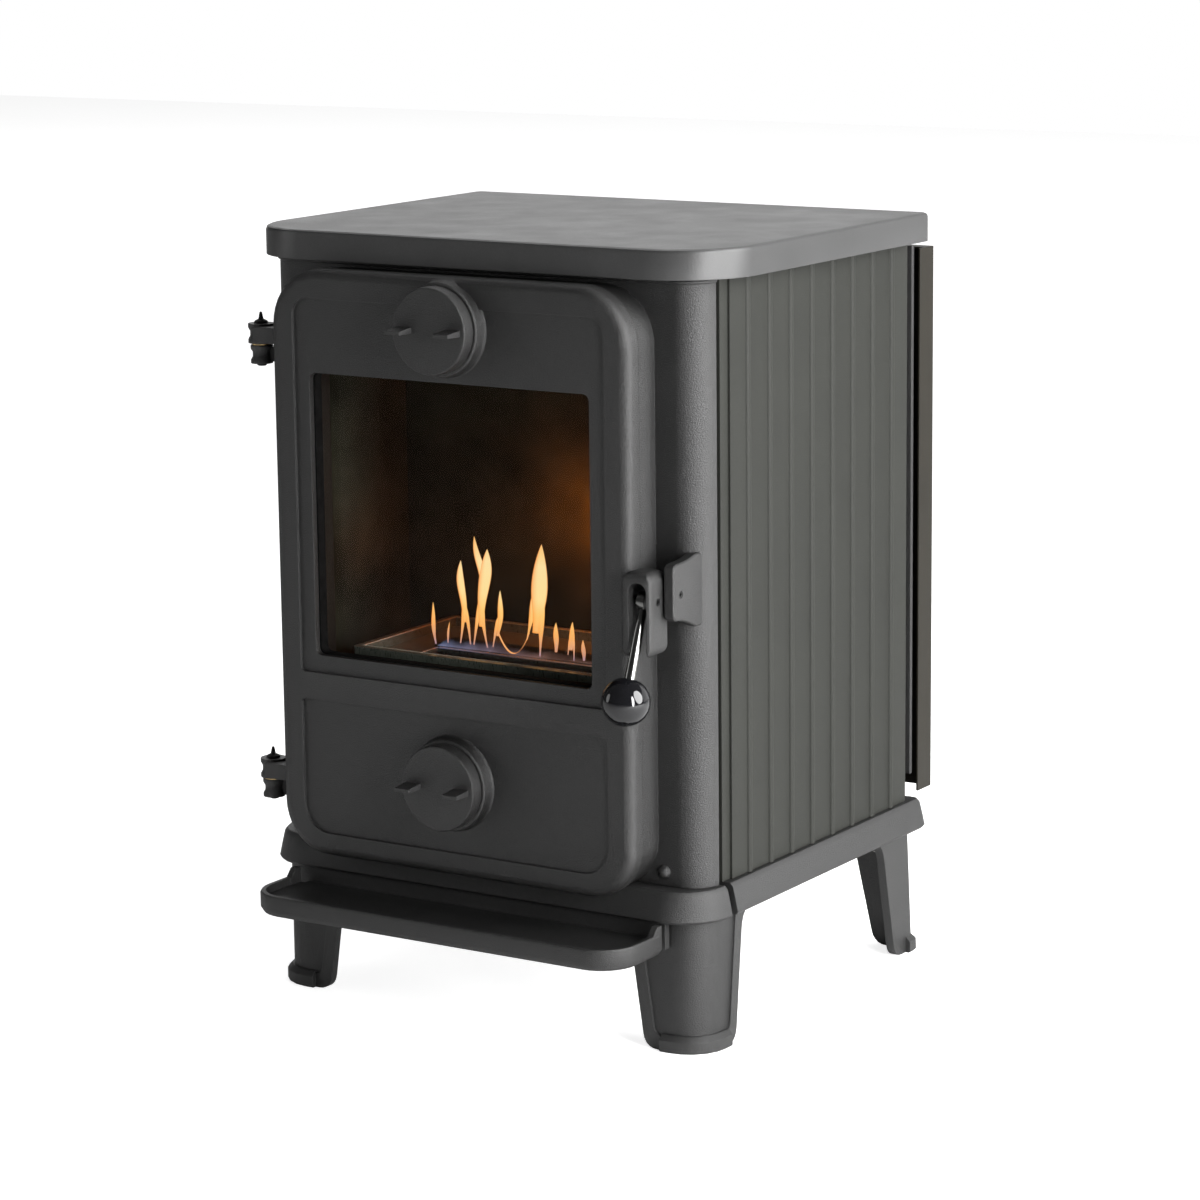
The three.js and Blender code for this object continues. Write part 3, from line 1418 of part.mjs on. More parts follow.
// A folded shelf: a level top with a front and a back fold that stand on the base.
function fireboxFloor() {
  const front = FIREBOX_FRONT + SHELF_FRONT_SETBACK;
  const back = fireboxBack - 2 * FIT_GAP;
  const sheet = SHELF_THICKNESS;
  const half = linerHalf - FIT_GAP;
  return prismX(polygon([
    [front, bodyBottom],
    [front + sheet, bodyBottom],
    [front + sheet, shelfTop - sheet],
    [back - sheet, shelfTop - sheet],
    [back - sheet, bodyBottom],
    [back, bodyBottom],
    [back, shelfTop],
    [front, shelfTop],
  ]), -half, half);
}

// ---------------------------------------------------------------- burner

function burnerBox() {
  const half = BOX_LENGTH / 2;
  const front = slotCentreY - SLOT_WIDTH / 2 - 10;
  const bottom = shelfTop + FIT_GAP;
  const outer = box(-half, half, front, front + BOX_DEPTH, bottom, boxTop);
  const wall = BOX_WALL;
  const hollow = box(-half + wall, half - wall, front + wall, front + BOX_DEPTH - wall,
    bottom + wall, boxTop + 1);
  return cut(outer, hollow);
}

function burnerTray() {
  const half = TRAY_WIDTH / 2;
  const back = fireboxBack - 2;
  const rim = TRAY_RIM_WIDTH;
  const outline = roundedRectangle(-half, half, trayFront, back, 3);
  const outer = prismZ(outline, trayBottom, trayBottom + TRAY_PLATE + TRAY_RIM_HEIGHT, 2);
  const hollow = box(-half + rim, half - rim, trayFront + rim, back - rim,
    trayBottom + TRAY_PLATE, trayBottom + 4 * TRAY_RIM_HEIGHT);
  const slot = prismZ(
    roundedRectangle(-SLOT_LENGTH / 2, SLOT_LENGTH / 2,
      slotCentreY - SLOT_WIDTH / 2, slotCentreY + SLOT_WIDTH / 2, 3),
    trayBottom - 1, trayBottom + TRAY_PLATE + 1, 3);
  return cut(outer, hollow, slot);
}

// The slider lies on the tray behind the flame slot and is pushed forward to close it.
function burnerSlider() {
  const half = SLOT_LENGTH / 2 + 4;
  const front = slotCentreY + SLOT_WIDTH / 2 + 1;
  const bottom = trayBottom + TRAY_PLATE + FIT_GAP;
  const top = bottom + SLIDER_THICKNESS;
  const plate = box(-half, half, front, front + SLOT_WIDTH + 3, bottom, top);
  const tab = box(half - SLIDER_TAB, half, front + SLOT_WIDTH, front + SLOT_WIDTH + 2,
    bottom + 0.5, top + 0.8 * SLIDER_TAB);
  return joined(plate, tab);
}

// ---------------------------------------------------------------- tie rods

function tieRod() {
  const low = bodyBottom;
  const high = bodyTop;
  return joined(
    rodZ(NUT_RADIUS, low, low + NUT_HEIGHT, 6),
    rodZ(ROD_RADIUS, low + 1, high - 1, 10),
    rodZ(NUT_RADIUS, high - NUT_HEIGHT, high, 6),
  );
}

// ---------------------------------------------------------------- assembly

function buildBody(stove) {
  part(stove, 'top_plate', topPlate(), topIron);
  part(stove, 'front_frame', frontFrame(), castIron);
  part(stove, 'side_panel_right', sidePanel(), castIron);
  part(stove, 'side_panel_left', reflected(sidePanel()), castIron);
  part(stove, 'back_plate', backPlate(), castIron);
  part(stove, 'heat_shield', heatShield(), shieldPaint);
  for (const { name, x, z } of standoffPlaces()) {
    part(stove, name, shieldStandoff(), dullSteel).position.set(x, 0, z);
  }
  const rods = [[-1, 'left'], [1, 'right']];
  for (const [side, word] of rods) {
    const x = side * (bodyHalf - ROD_INSET_X);
    part(stove, `tie_rod_front_${word}`, tieRod(), dullSteel).position.set(x, ROD_FRONT, 0);
    part(stove, `tie_rod_rear_${word}`, tieRod(), dullSteel).position.set(x, ROD_BACK, 0);
  }
}

function buildBase(stove) {
  part(stove, 'base_front', baseFrontCasting(), castIron);
  part(stove, 'base_plate', basePlate(), castIron);
  part(stove, 'leg_front_right', frontLeg(), castIron);
  part(stove, 'leg_front_left', reflected(frontLeg()), castIron);
  part(stove, 'leg_rear_right', rearLeg(), castIron);
  part(stove, 'leg_rear_left', reflected(rearLeg()), castIron);
  const headTop = LEG_HEIGHT - CAST_WALL - LEG_PAD_DROP - 3 * FIT_GAP;
  const shank = baseTop - CAST_WALL - headTop - 1;
  for (const [side, word] of [[-1, 'left'], [1, 'right']]) {
    const front = part(stove, `leg_bolt_front_${word}`, upwardBolt(shank), dullSteel);
    front.position.set(side * frontPad.x, frontPad.y, headTop);
    const rear = part(stove, `leg_bolt_rear_${word}`, upwardBolt(shank), dullSteel);
    rear.position.set(side * rearPad.x, rearPad.y, headTop);
  }
  part(stove, 'ash_lip', ashLip(), castIron);
  const [left, right] = lipBoltPlaces();
  part(stove, 'lip_bolt_left', lipBolt(), dullSteel).position.x = left;
  part(stove, 'lip_bolt_right', lipBolt(), dullSteel).position.x = right;
}

function buildFirebox(stove) {
  part(stove, 'firebox_right', fireboxSide(), firebrick);
  part(stove, 'firebox_left', reflected(fireboxSide()), firebrick);
  part(stove, 'firebox_back', fireboxBackWall(), firebrick);
  part(stove, 'firebox_top', fireboxLid(), firebrick);
  part(stove, 'firebox_floor', fireboxFloor(), darkIron);
  const burner = new THREE.Group();
  burner.position.x = DOOR_CENTRE_X;
  stove.add(burner);
  part(burner, 'burner_box', burnerBox(), dullSteel);
  part(burner, 'burner_tray', burnerTray(), darkIron);
  part(burner, 'burner_slider', burnerSlider(), dullSteel);
}

function buildHinges(stove) {
  for (const [word, z] of [['upper', upperHingeZ], ['lower', lowerHingeZ]]) {
    const hinge = new THREE.Group();
    hinge.position.set(DOOR_CENTRE_X + hingeX, HINGE_AXIS_Y, z);
    stove.add(hinge);
    part(hinge, `hinge_pin_${word}`, hingePin(), darkIron);
    part(hinge, `hinge_washer_${word}`, hingeWasher(), brass);
  }
  part(stove, 'catch_pin', catchPin(), dullSteel).position.set(0, catchPinY, catchPinZ);
}

function buildDoor(stove) {
  const door = new THREE.Group();
  door.position.x = DOOR_CENTRE_X;
  stove.add(door);
  part(door, 'door', doorCasting(), castIron);
  part(door, 'door_glass', doorGlass(), glass);
  part(door, 'glass_gasket', glassGasket(), rope);
  part(door, 'door_rope', ropeRing(doorBack - ROPE_GROOVE + FIT_GAP, landingFront - FIT_GAP, 0), rope);
  for (const { name, x, z, up } of clipPlaces()) {
    part(door, name, glassClip(up), dullSteel).position.set(x, 0, z);
  }
  for (const [word, z] of [['upper', upperValveZ], ['lower', lowerValveZ]]) {
    const valve = new THREE.Group();
    valve.position.z = z;
    door.add(valve);
    part(valve, `${word}_air_stud`, airStud(), dullSteel);
    part(valve, `${word}_air_washer`, airWasher(), dullSteel);
    part(valve, `${word}_air_wheel`, airWheel(), castIron);
  }
  const latch = new THREE.Group();
  latch.position.set(0, axleY, axleZ);
  door.add(latch);
  part(latch, 'latch_axle', latchAxle(), dullSteel);
  part(latch, 'latch_lever', latchLever(), steel);
  part(latch, 'latch_hook', latchHook(), dullSteel);
  part(latch, 'latch_ball', latchBall(), ballEnamel)
    .position.set(slotX - LEVER_WIDTH / 8, -BALL_FORWARD, -BALL_DROP);
}

const stove = new THREE.Group();
buildBase(stove);
buildBody(stove);
buildFirebox(stove);
buildHinges(stove);
buildDoor(stove);

// The origin is on the floor, in the middle of the stove's outline.
stove.updateMatrixWorld(true);
const outline = new THREE.Box3().setFromObject(stove, true);
stove.position.set(
  -(outline.min.x + outline.max.x) / 2,
  -(outline.min.y + outline.max.y) / 2,
  -outline.min.z,
);

export default stove;
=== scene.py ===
"""The looks of a small cast-iron stove with a liquid-fuel burner alight behind its glazed door.

The solids get their finishes here. Flames, burning vapour and pale strips that paint the highlights
along the burner tray's polished edges are added to them, and a plain white studio stands around the
stove. Lengths are in metres, apart from the fire's and the tray's, which are in millimetres.
"""

import math

import bpy
from mathutils import Matrix, Vector


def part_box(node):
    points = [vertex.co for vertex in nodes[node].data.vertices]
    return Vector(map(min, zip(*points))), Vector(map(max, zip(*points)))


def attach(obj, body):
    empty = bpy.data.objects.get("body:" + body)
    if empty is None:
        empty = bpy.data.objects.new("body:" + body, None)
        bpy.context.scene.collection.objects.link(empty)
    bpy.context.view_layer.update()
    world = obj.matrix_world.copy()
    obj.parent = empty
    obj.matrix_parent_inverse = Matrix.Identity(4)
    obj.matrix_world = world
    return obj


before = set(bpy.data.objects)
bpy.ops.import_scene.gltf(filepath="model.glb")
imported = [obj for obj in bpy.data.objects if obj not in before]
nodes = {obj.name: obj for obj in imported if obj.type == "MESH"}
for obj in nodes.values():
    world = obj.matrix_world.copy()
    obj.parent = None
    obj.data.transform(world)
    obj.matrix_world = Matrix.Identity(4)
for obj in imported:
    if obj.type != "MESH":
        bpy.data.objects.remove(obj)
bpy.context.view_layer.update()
scene = bpy.context.scene
MM = 0.001


# ------------------------------------------------------------------ shader nodes

def feed(tree, value, socket):
    """Links a socket to another one, or gives it a fixed value."""
    if isinstance(value, bpy.types.NodeSocket):
        tree.links.new(value, socket)
    else:
        socket.default_value = value


def add(tree, kind, settings=None, **inputs):
    """A shader node with its settings and its named inputs, an underscore for each space."""
    node = tree.nodes.new("ShaderNode" + kind)
    for key, value in (settings or {}).items():
        setattr(node, key, value)
    for key, value in inputs.items():
        feed(tree, value, node.inputs[key.replace("_", " ")])
    return node


def new_material(name):
    """A material with an empty tree to build in."""
    material = bpy.data.materials.new(name)
    material.use_nodes = True
    material.node_tree.nodes.clear()
    return material, material.node_tree


def finish(material, shader):
    """Gives a material the shader that it shows."""
    add(material.node_tree, "OutputMaterial", Surface=shader.outputs[0])
    return material


def object_place(tree):
    """The place on the object, which a noise follows."""
    return add(tree, "TexCoord").outputs["Object"]


def noise(tree, place, scale, detail=2.0, roughness=0.5):
    """Noise from 0 to 1, at so many lumps per metre."""
    node = add(tree, "TexNoise", Vector=place, Scale=scale, Detail=detail, Roughness=roughness)
    return node.outputs["Fac"]


def spread(tree, value, source, target):
    """A value carried from one range to another, held at the ends."""
    node = add(tree, "MapRange", {"clamp": True}, Value=value, From_Min=source[0], From_Max=source[1],
               To_Min=target[0], To_Max=target[1])
    return node.outputs["Result"]


def arithmetic(tree, operation, first, second):
    """One sum, product or the like of two numbers or sockets."""
    node = add(tree, "Math", {"operation": operation})
    for socket, value in zip(node.inputs, (first, second)):
        feed(tree, value, socket)
    return node.outputs[0]


# The Mix node has sockets for numbers and vectors too. These are the ones for colours.
MIX_SHARE, MIX_FIRST, MIX_SECOND = 0, 6, 7
MIX_RESULT = 2


def blend_colours(tree, share, first, second):
    """Two colours mixed, by the share of the second one."""
    node = add(tree, "Mix", {"data_type": "RGBA"})
    feed(tree, share, node.inputs[MIX_SHARE])
    feed(tree, first, node.inputs[MIX_FIRST])
    feed(tree, second, node.inputs[MIX_SECOND])
    return node.outputs[MIX_RESULT]


def mix_shaders(tree, share, first, second):
    """Two shaders mixed, by the share of the second one."""
    mixed = add(tree, "MixShader", Fac=share)
    tree.links.new(first.outputs[0], mixed.inputs[1])
    tree.links.new(second.outputs[0], mixed.inputs[2])
    return mixed


def bump(tree, strength, distance, height, **inputs):
    """The normal of a surface with fine relief."""
    node = add(tree, "Bump", Strength=strength, Distance=distance, Height=height, **inputs)
    return node.outputs["Normal"]


def grey(level, warmth=0.0):
    return (level * (1 + warmth), level, level * (1 - warmth), 1.0)


def shade(colour, share, lift=0.0):
    """A colour made darker or lighter by a share, and paler by a lift."""
    return tuple(min(1.0, part * share + lift) for part in colour[:3]) + (1.0,)


# ------------------------------------------------------------------ finishes

UNIT = (0.0, 1.0)
MIDDLE = (0.3, 0.7)  # where most of a noise's values lie
WHITE = (1, 1, 1, 1)

# Lumps per metre, from a casting's grain to the blotches in its blacking.
SAND_GRAIN = 2400.0
PITS = 950.0
BLOTCHES = 22.0
GRAIN_SHARE = 0.6  # the grain's height beside the pits'
GRAIN_DEPTH = 0.6 * MM
EDGE_ROUNDING = 1.1 * MM
RUBBED_EDGE = (0.52, 0.6)  # how pointed an edge is where the blacking starts to go and where it is gone


def cast_surface(name, colour, roughness, grain=0.5, specular=0.5, wear=0.3):
    """Blacked cast iron: sand-cast grain, blotchy blacking and rubbed edges."""
    material, tree = new_material(name)
    place = object_place(tree)
    sand = noise(tree, place, SAND_GRAIN, 2.0, 0.6)
    pits = noise(tree, place, PITS, 3.0, 0.6)
    blotch = noise(tree, place, BLOTCHES, 4.0, 0.55)
    dull = shade(colour, 0.72)
    dusted = shade(colour, 2.6, 0.01)
    mottled = blend_colours(tree, spread(tree, blotch, MIDDLE, UNIT), dull, colour)
    speckled = blend_colours(tree, spread(tree, sand, (0.54, 0.74), (0.0, 0.5)), mottled, dusted)
    pointed = add(tree, "NewGeometry").outputs["Pointiness"]
    worn = blend_colours(tree, spread(tree, pointed, RUBBED_EDGE, (0.0, wear)), speckled, dusted)
    uneven = spread(tree, blotch, (0.25, 0.75), (roughness - 0.05, roughness + 0.06))
    height = arithmetic(tree, "ADD", arithmetic(tree, "MULTIPLY", sand, GRAIN_SHARE), pits)
    rounded = add(tree, "Bevel", {"samples": 4}, Radius=EDGE_ROUNDING).outputs["Normal"]
    normal = bump(tree, grain, GRAIN_DEPTH, height, Normal=rounded)
    return finish(material, add(tree, "BsdfPrincipled", Base_Color=worn, Roughness=uneven,
                                Specular_IOR_Level=specular, Normal=normal))


STREAKS = (60.0, 60.0, 9.0)  # how finely they lie across the metal, and how coarsely along it
FINGER_MARKS = 120.0


def metal_surface(name, colour, roughness, metallic=1.0):
    """Bare metal with faint upright streaks and finger marks."""
    material, tree = new_material(name)
    place = object_place(tree)
    stretched = add(tree, "Mapping", Vector=place, Scale=STREAKS).outputs["Vector"]
    streaks = noise(tree, stretched, 30.0, 3.0)
    marks = noise(tree, place, FINGER_MARKS, 4.0)
    tone = blend_colours(tree, spread(tree, marks, (0.35, 0.75), (0.0, 0.6)), colour, shade(colour, 0.6))
    uneven = spread(tree, streaks, MIDDLE, (max(0.03, roughness - 0.06), roughness + 0.1))
    normal = bump(tree, 0.05, 0.2 * MM, streaks)
    return finish(material, add(tree, "BsdfPrincipled", Base_Color=tone, Roughness=uneven,
                                Metallic=metallic, Normal=normal))


def glaze_surface(name):
    """The lever's ball: moulded black, very glossy, with a faint swirl."""
    material, tree = new_material(name)
    place = object_place(tree)
    swirl = noise(tree, place, 90.0, 3.0)
    tone = blend_colours(tree, swirl, (0.003, 0.003, 0.004, 1), (0.007, 0.007, 0.008, 1))
    uneven = spread(tree, noise(tree, place, 400.0), MIDDLE, (0.04, 0.07))
    return finish(material, add(tree, "BsdfPrincipled", Base_Color=tone, Roughness=uneven,
                                Coat_Weight=0.25, Coat_Roughness=0.04))


def sooted_surface(name, colour, roughness):
    """Firebox lining: sooted board, darker in clouds."""
    material, tree = new_material(name)
    place = object_place(tree)
    cloud = noise(tree, place, 14.0, 5.0, 0.6)
    ripple = noise(tree, place, 45.0, 3.0)
    tone = blend_colours(tree, spread(tree, cloud, (0.35, 0.65), UNIT), shade(colour, 0.35), colour)
    normal = bump(tree, 0.15, 2 * MM, ripple)
    uneven = spread(tree, cloud, MIDDLE, (roughness - 0.1, roughness + 0.1))
    return finish(material, add(tree, "BsdfPrincipled", Base_Color=tone, Roughness=uneven,
                                Specular_IOR_Level=0.08, Normal=normal))


def rope_surface(name):
    """Knitted glass-fibre rope, sooted black."""
    material, tree = new_material(name)
    place = object_place(tree)
    fibre = noise(tree, place, 2200.0, 3.0, 0.7)
    tuft = noise(tree, place, 160.0, 3.0)
    tone = blend_colours(tree, spread(tree, tuft, (0.3, 0.75), UNIT), grey(0.001), grey(0.006))
    normal = bump(tree, 0.6, 0.5 * MM, fibre)
    return finish(material, add(tree, "BsdfPrincipled", Base_Color=tone, Roughness=0.9,
                                Specular_IOR_Level=0.1, Normal=normal))


def glass_surface(name):
    """Clear stove glass with a faint, slightly uneven reflection and a little smoke in it."""
    material, tree = new_material(name)
    place = object_place(tree)
    smoke = noise(tree, place, 8.0, 4.0)
    tint = blend_colours(tree, smoke, (0.93, 0.91, 0.88, 1), (0.84, 0.82, 0.78, 1))
    clear = add(tree, "BsdfTransparent", Color=tint)
    uneven = spread(tree, noise(tree, place, 60.0), MIDDLE, (0.02, 0.06))
    shine = add(tree, "BsdfGlossy", Roughness=uneven, Color=WHITE)
    slant = add(tree, "LayerWeight", Blend=0.3).outputs["Fresnel"]
    return finish(material, mix_shaders(tree, spread(tree, slant, UNIT, (0.001, 0.09)), clear, shine))


# A flame's colours from its root, at 0, to the tip of the tallest one, at 1.
FLAME_COLOURS = (
    (0.0, (0.55, 0.5, 0.8, 1)),
    (0.06, (0.85, 0.45, 0.33, 1)),
    (0.2, (1.0, 0.5, 0.16, 1)),
    (0.36, (1.0, 0.62, 0.2, 1)),
    (0.5, (1.0, 0.78, 0.36, 1)),
    (0.8, (1.0, 0.8, 0.42, 1)),
    (1.0, (1.0, 0.6, 0.2, 1)),
)
FLAME_RIM = (1.0, 0.3, 0.04, 1)
FLAME_GLOW = 1.25


def climb_share(tree):
    """How far up its fire a point is, as mesh_piece() wrote it."""
    return add(tree, "Attribute", {"attribute_name": "climb"}).outputs["Fac"]


def flame_surface(name):
    """A burning tongue: blue and faint at its root, white-yellow within, orange at its edges and tip."""
    material, tree = new_material(name)
    climb = climb_share(tree)
    facing = add(tree, "LayerWeight", Blend=0.5).outputs["Facing"]
    ramp = add(tree, "ValToRGB", Fac=climb)
    stops = ramp.color_ramp.elements
    stops.remove(stops[-1])
    stops[0].color = FLAME_COLOURS[0][1]
    for position, colour in FLAME_COLOURS[1:]:
        stops.new(position).color = colour
    rim = spread(tree, facing, (0.15, 0.7), UNIT)
    colour = blend_colours(tree, rim, ramp.outputs["Color"], FLAME_RIM)
    glow = add(tree, "Emission", Color=colour, Strength=FLAME_GLOW)
    hollow = add(tree, "BsdfTransparent", Color=WHITE)
    root = spread(tree, climb, (0.0, 0.3), (0.35, 1.0))
    body = spread(tree, facing, (0.45, 0.95), (1.0, 0.0))
    return finish(material, mix_shaders(tree, arithmetic(tree, "MULTIPLY", root, body), hollow, glow))


VEIL_BLUE = (0.35, 0.5, 1.0, 1)
VEIL_PINK = (0.95, 0.5, 0.42, 1)
VEIL_TURNS_PINK = (-85 * MM, 20 * MM)  # from the left end of the slot to right of its middle


def veil_surface(name):
    """Low burning vapour: blue, clear where it thins out at its top, pinker to the right."""
    material, tree = new_material(name)
    place = object_place(tree)
    across = add(tree, "SeparateXYZ", Vector=place).outputs["X"]
    side = spread(tree, across, VEIL_TURNS_PINK, UNIT)
    colour = blend_colours(tree, side, VEIL_BLUE, VEIL_PINK)
    glow = add(tree, "Emission", Color=colour, Strength=spread(tree, side, (0.0, 0.6), (0.9, 0.4)))
    hollow = add(tree, "BsdfTransparent", Color=WHITE)
    patch = spread(tree, noise(tree, place, 70.0), MIDDLE, (0.35, 1.0))
    thin = spread(tree, climb_share(tree), UNIT, (0.6, 0.0))
    return finish(material, mix_shaders(tree, arithmetic(tree, "MULTIPLY", thin, patch), hollow, glow))


IRON = cast_surface("blacked_iron", grey(0.007, 0.02), 0.42, grain=0.9, specular=0.68)
PANEL_IRON = cast_surface("panel_iron", (0.012, 0.0125, 0.0105, 1), 0.55, grain=0.4, specular=0.2)
TOP_IRON = cast_surface("top_iron", grey(0.032), 0.38, grain=0.2)
LEG_IRON = cast_surface("leg_iron", grey(0.009, 0.01), 0.46, grain=0.7, specular=0.55)
KNUCKLE_IRON = cast_surface("knuckle_iron", grey(0.006), 0.5, grain=0.3, specular=0.3)
SHIELD = cast_surface("shield_paint", (0.009, 0.0075, 0.0045, 1), 0.5, grain=0.08, specular=0.25, wear=0.15)
DARK_STEEL = cast_surface("heated_steel", grey(0.02, 0.06), 0.35, grain=0.08)
LINING = sooted_surface("lining", (0.036, 0.05, 0.042, 1), 0.8)
PLAIN_STEEL = metal_surface("plain_steel", (0.42, 0.41, 0.39, 1), 0.35)
BRIGHT_STEEL = metal_surface("bright_steel", (0.2, 0.2, 0.195, 1), 0.14)
BURNER_STEEL = metal_surface("burner_steel", (0.3, 0.37, 0.36, 1), 0.3, metallic=0.65)
# pale, nearly white steel: it paints the highlight lines along the tray's polished edges
HIGHLIGHT_STRIP = metal_surface("painted_highlight_edge", (0.9, 0.88, 0.82, 1), 0.25, metallic=0.3)
DARK_PIN = metal_surface("blued_steel", (0.07, 0.07, 0.07, 1), 0.35)
BRASS = metal_surface("worn_brass", (0.7, 0.5, 0.24, 1), 0.3)
BALL = glaze_surface("moulded_black")
ROPE = rope_surface("rope")
GLASS = glass_surface("stove_glass")
FLAME = flame_surface("flame")
VEIL = veil_surface("veil")


# ------------------------------------------------------------------ the solids' finishes

SHARP_ANGLE = math.radians(38)
WELD_DISTANCE = 2e-6


def soft_edges(limit):
    """A geometry tree that shades smooth across every edge flatter than the limit."""
    tree = bpy.data.node_groups.new("soft_edges", "GeometryNodeTree")
    tree.interface.new_socket("Geometry", in_out="INPUT", socket_type="NodeSocketGeometry")
    tree.interface.new_socket("Geometry", in_out="OUTPUT", socket_type="NodeSocketGeometry")
    start = tree.nodes.new("NodeGroupInput")
    end = tree.nodes.new("NodeGroupOutput")
    faces = tree.nodes.new("GeometryNodeSetShadeSmooth")
    faces.domain = "FACE"
    edges = tree.nodes.new("GeometryNodeSetShadeSmooth")
    edges.domain = "EDGE"
    angle = tree.nodes.new("GeometryNodeInputMeshEdgeAngle")
    sharp = tree.nodes.new("FunctionNodeCompare")
    sharp.data_type = "FLOAT"
    sharp.operation = "GREATER_THAN"
    sharp.inputs[1].default_value = limit
    edges.inputs["Shade Smooth"].default_value = False
    tree.links.new(start.outputs[0], faces.inputs["Geometry"])
    tree.links.new(faces.outputs[0], edges.inputs["Geometry"])
    tree.links.new(angle.outputs["Unsigned Angle"], sharp.inputs[0])
    tree.links.new(sharp.outputs[0], edges.inputs["Selection"])
    tree.links.new(edges.outputs[0], end.inputs[0])
    return tree


SOFT = soft_edges(SHARP_ANGLE)


def dress(name, material):
    """Gives a CAD node its finish and smooths its curved stretches."""
    node = nodes[name]
    node.data.materials.clear()
    node.data.materials.append(material)
    weld = node.modifiers.new("weld", "WELD")
    weld.merge_threshold = WELD_DISTANCE
    smooth = node.modifiers.new("smooth", "NODES")
    smooth.node_group = SOFT
    even = node.modifiers.new("even", "WEIGHTED_NORMAL")
    even.keep_sharp = True


# Each finish, and how the names of the nodes that wear it begin.
WEARERS = (
    (IRON, ("front_frame", "door", "back_plate", "upper_air_wheel", "lower_air_wheel")),
    (LEG_IRON, ("base_front", "base_plate", "ash_lip", "leg_front", "leg_rear")),
    (TOP_IRON, ("top_plate",)),
    (PANEL_IRON, ("side_panel",)),
    (SHIELD, ("heat_shield",)),
    (LINING, ("firebox_left", "firebox_right", "firebox_back", "firebox_top")),
    (DARK_STEEL, ("firebox_floor",)),
    (BURNER_STEEL, ("burner_tray",)),
    (KNUCKLE_IRON, ("hinge_pin",)),
    (BRASS, ("hinge_washer",)),
    (DARK_PIN, ("latch_axle", "latch_hook", "catch_pin")),
    (BRIGHT_STEEL, ("latch_lever",)),
    (BALL, ("latch_ball",)),
    (GLASS, ("door_glass",)),
    (ROPE, ("door_rope", "glass_gasket")),
    (PLAIN_STEEL, ("burner_box", "burner_slider", "leg_bolt", "lip_bolt", "shield_standoff", "tie_rod",
                   "glass_clip", "upper_air_stud", "lower_air_stud", "upper_air_washer",
                   "lower_air_washer")),
)
for name in nodes:
    # the longest beginning counts, so that door_glass doesn't pass for the door
    fits = [(len(start), material) for material, starts in WEARERS for start in starts
            if name.startswith(start)]
    dress(name, max(fits, key=lambda fit: fit[0])[1])


# ------------------------------------------------------------------ the burner's measures

tray_low, tray_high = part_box("burner_tray")
slider_low, slider_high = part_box("burner_slider")
TRAY_RIM_WIDTH = 6
TRAY_RIM_HEIGHT = 7
TRAY_TOP = tray_high.z / MM
PLATE_TOP = TRAY_TOP - TRAY_RIM_HEIGHT

# The flame slot in the tray: the slider waits just behind it and laps over both its ends.
SLIDER_GAP = 1
SLIDER_LAP = 4
SLOT_WIDTH = 24
SLOT_LEFT = slider_low.x / MM + SLIDER_LAP
SLOT_RIGHT = slider_high.x / MM - SLIDER_LAP
SLOT_BACK = slider_low.y / MM - SLIDER_GAP
SLOT_FRONT = SLOT_BACK - SLOT_WIDTH

FLAME_Y = SLOT_BACK - SLOT_WIDTH / 2
FLAME_ROOT = TRAY_TOP - 2  # the flames' heights count from here
FLAME_REACH = 88.0  # the tallest flame's height
FLAME_DEPTH = 0.5  # a flame's depth beside its width
VEIL_FOOT = PLATE_TOP + 2.6  # clear of the slider when it closes the slot


# ------------------------------------------------------------------ flames and painted highlights on the tray's edges

def mesh_piece(name, vertices, faces, material, body, climbs=None, smooth=True):
    """A piece that rides on a body; climbs says how far up its fire each point is."""
    mesh = bpy.data.meshes.new(name)
    mesh.from_pydata(vertices, [], faces)
    if climbs is not None:
        mesh.attributes.new("climb", "FLOAT", "POINT").data.foreach_set("value", climbs)
    for polygon in mesh.polygons:
        polygon.use_smooth = smooth
    piece = bpy.data.objects.new(name, mesh)
    piece.data.materials.append(material)
    scene.collection.objects.link(piece)
    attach(piece, body)
    return piece


def tube_faces(lengths, sides):
    """The faces of a tube with closed ends, whose points come ring after ring."""
    faces = []
    for ring in range(lengths):
        for side in range(sides):
            a = ring * sides + side
            b = ring * sides + (side + 1) % sides
            faces.append((a, b, b + sides, a + sides))
    faces.append(tuple(reversed(range(sides))))
    faces.append(tuple(lengths * sides + side for side in range(sides)))
    return faces


STRAND_LENGTHS = 30
STRAND_SIDES = 14
TIP_FULLNESS = 0.85  # below 1 a tip is blunter than a cosine's
THINNEST = 0.05


def strand(name, root, tip, wide, peak, foot, bow, sway):
    """One lick of flame from its root to its tip, each an (x, height) pair.

    It is widest, at the half width `wide`, at the share `peak` of its length. It starts at the half
    width `foot`, and its middle bows and sways to the side.
    """
    vertices, climbs = [], []
    for ring in range(STRAND_LENGTHS + 1):
        t = ring / STRAND_LENGTHS
        if t < peak:
            share = t / peak
            half = foot + (wide - foot) * share * share * (3 - 2 * share)
        else:
            half = wide * math.cos(math.pi / 2 * (t - peak) / (1 - peak)) ** TIP_FULLNESS
        half = max(half, THINNEST)
        aside = bow * math.sin(math.pi * t) + sway * math.sin(2 * math.pi * t)
        x = root[0] + (tip[0] - root[0]) * t + aside
        z = root[1] + (tip[1] - root[1]) * t
        for side in range(STRAND_SIDES):
            angle = math.tau * side / STRAND_SIDES
            vertices.append((
                (x + half * math.cos(angle)) * MM,
                (FLAME_Y + FLAME_DEPTH * half * math.sin(angle)) * MM,
                (FLAME_ROOT + z) * MM,
            ))
            climbs.append(z / FLAME_REACH)
    return mesh_piece(name, vertices, tube_faces(STRAND_LENGTHS, STRAND_SIDES), FLAME, "stove", climbs)


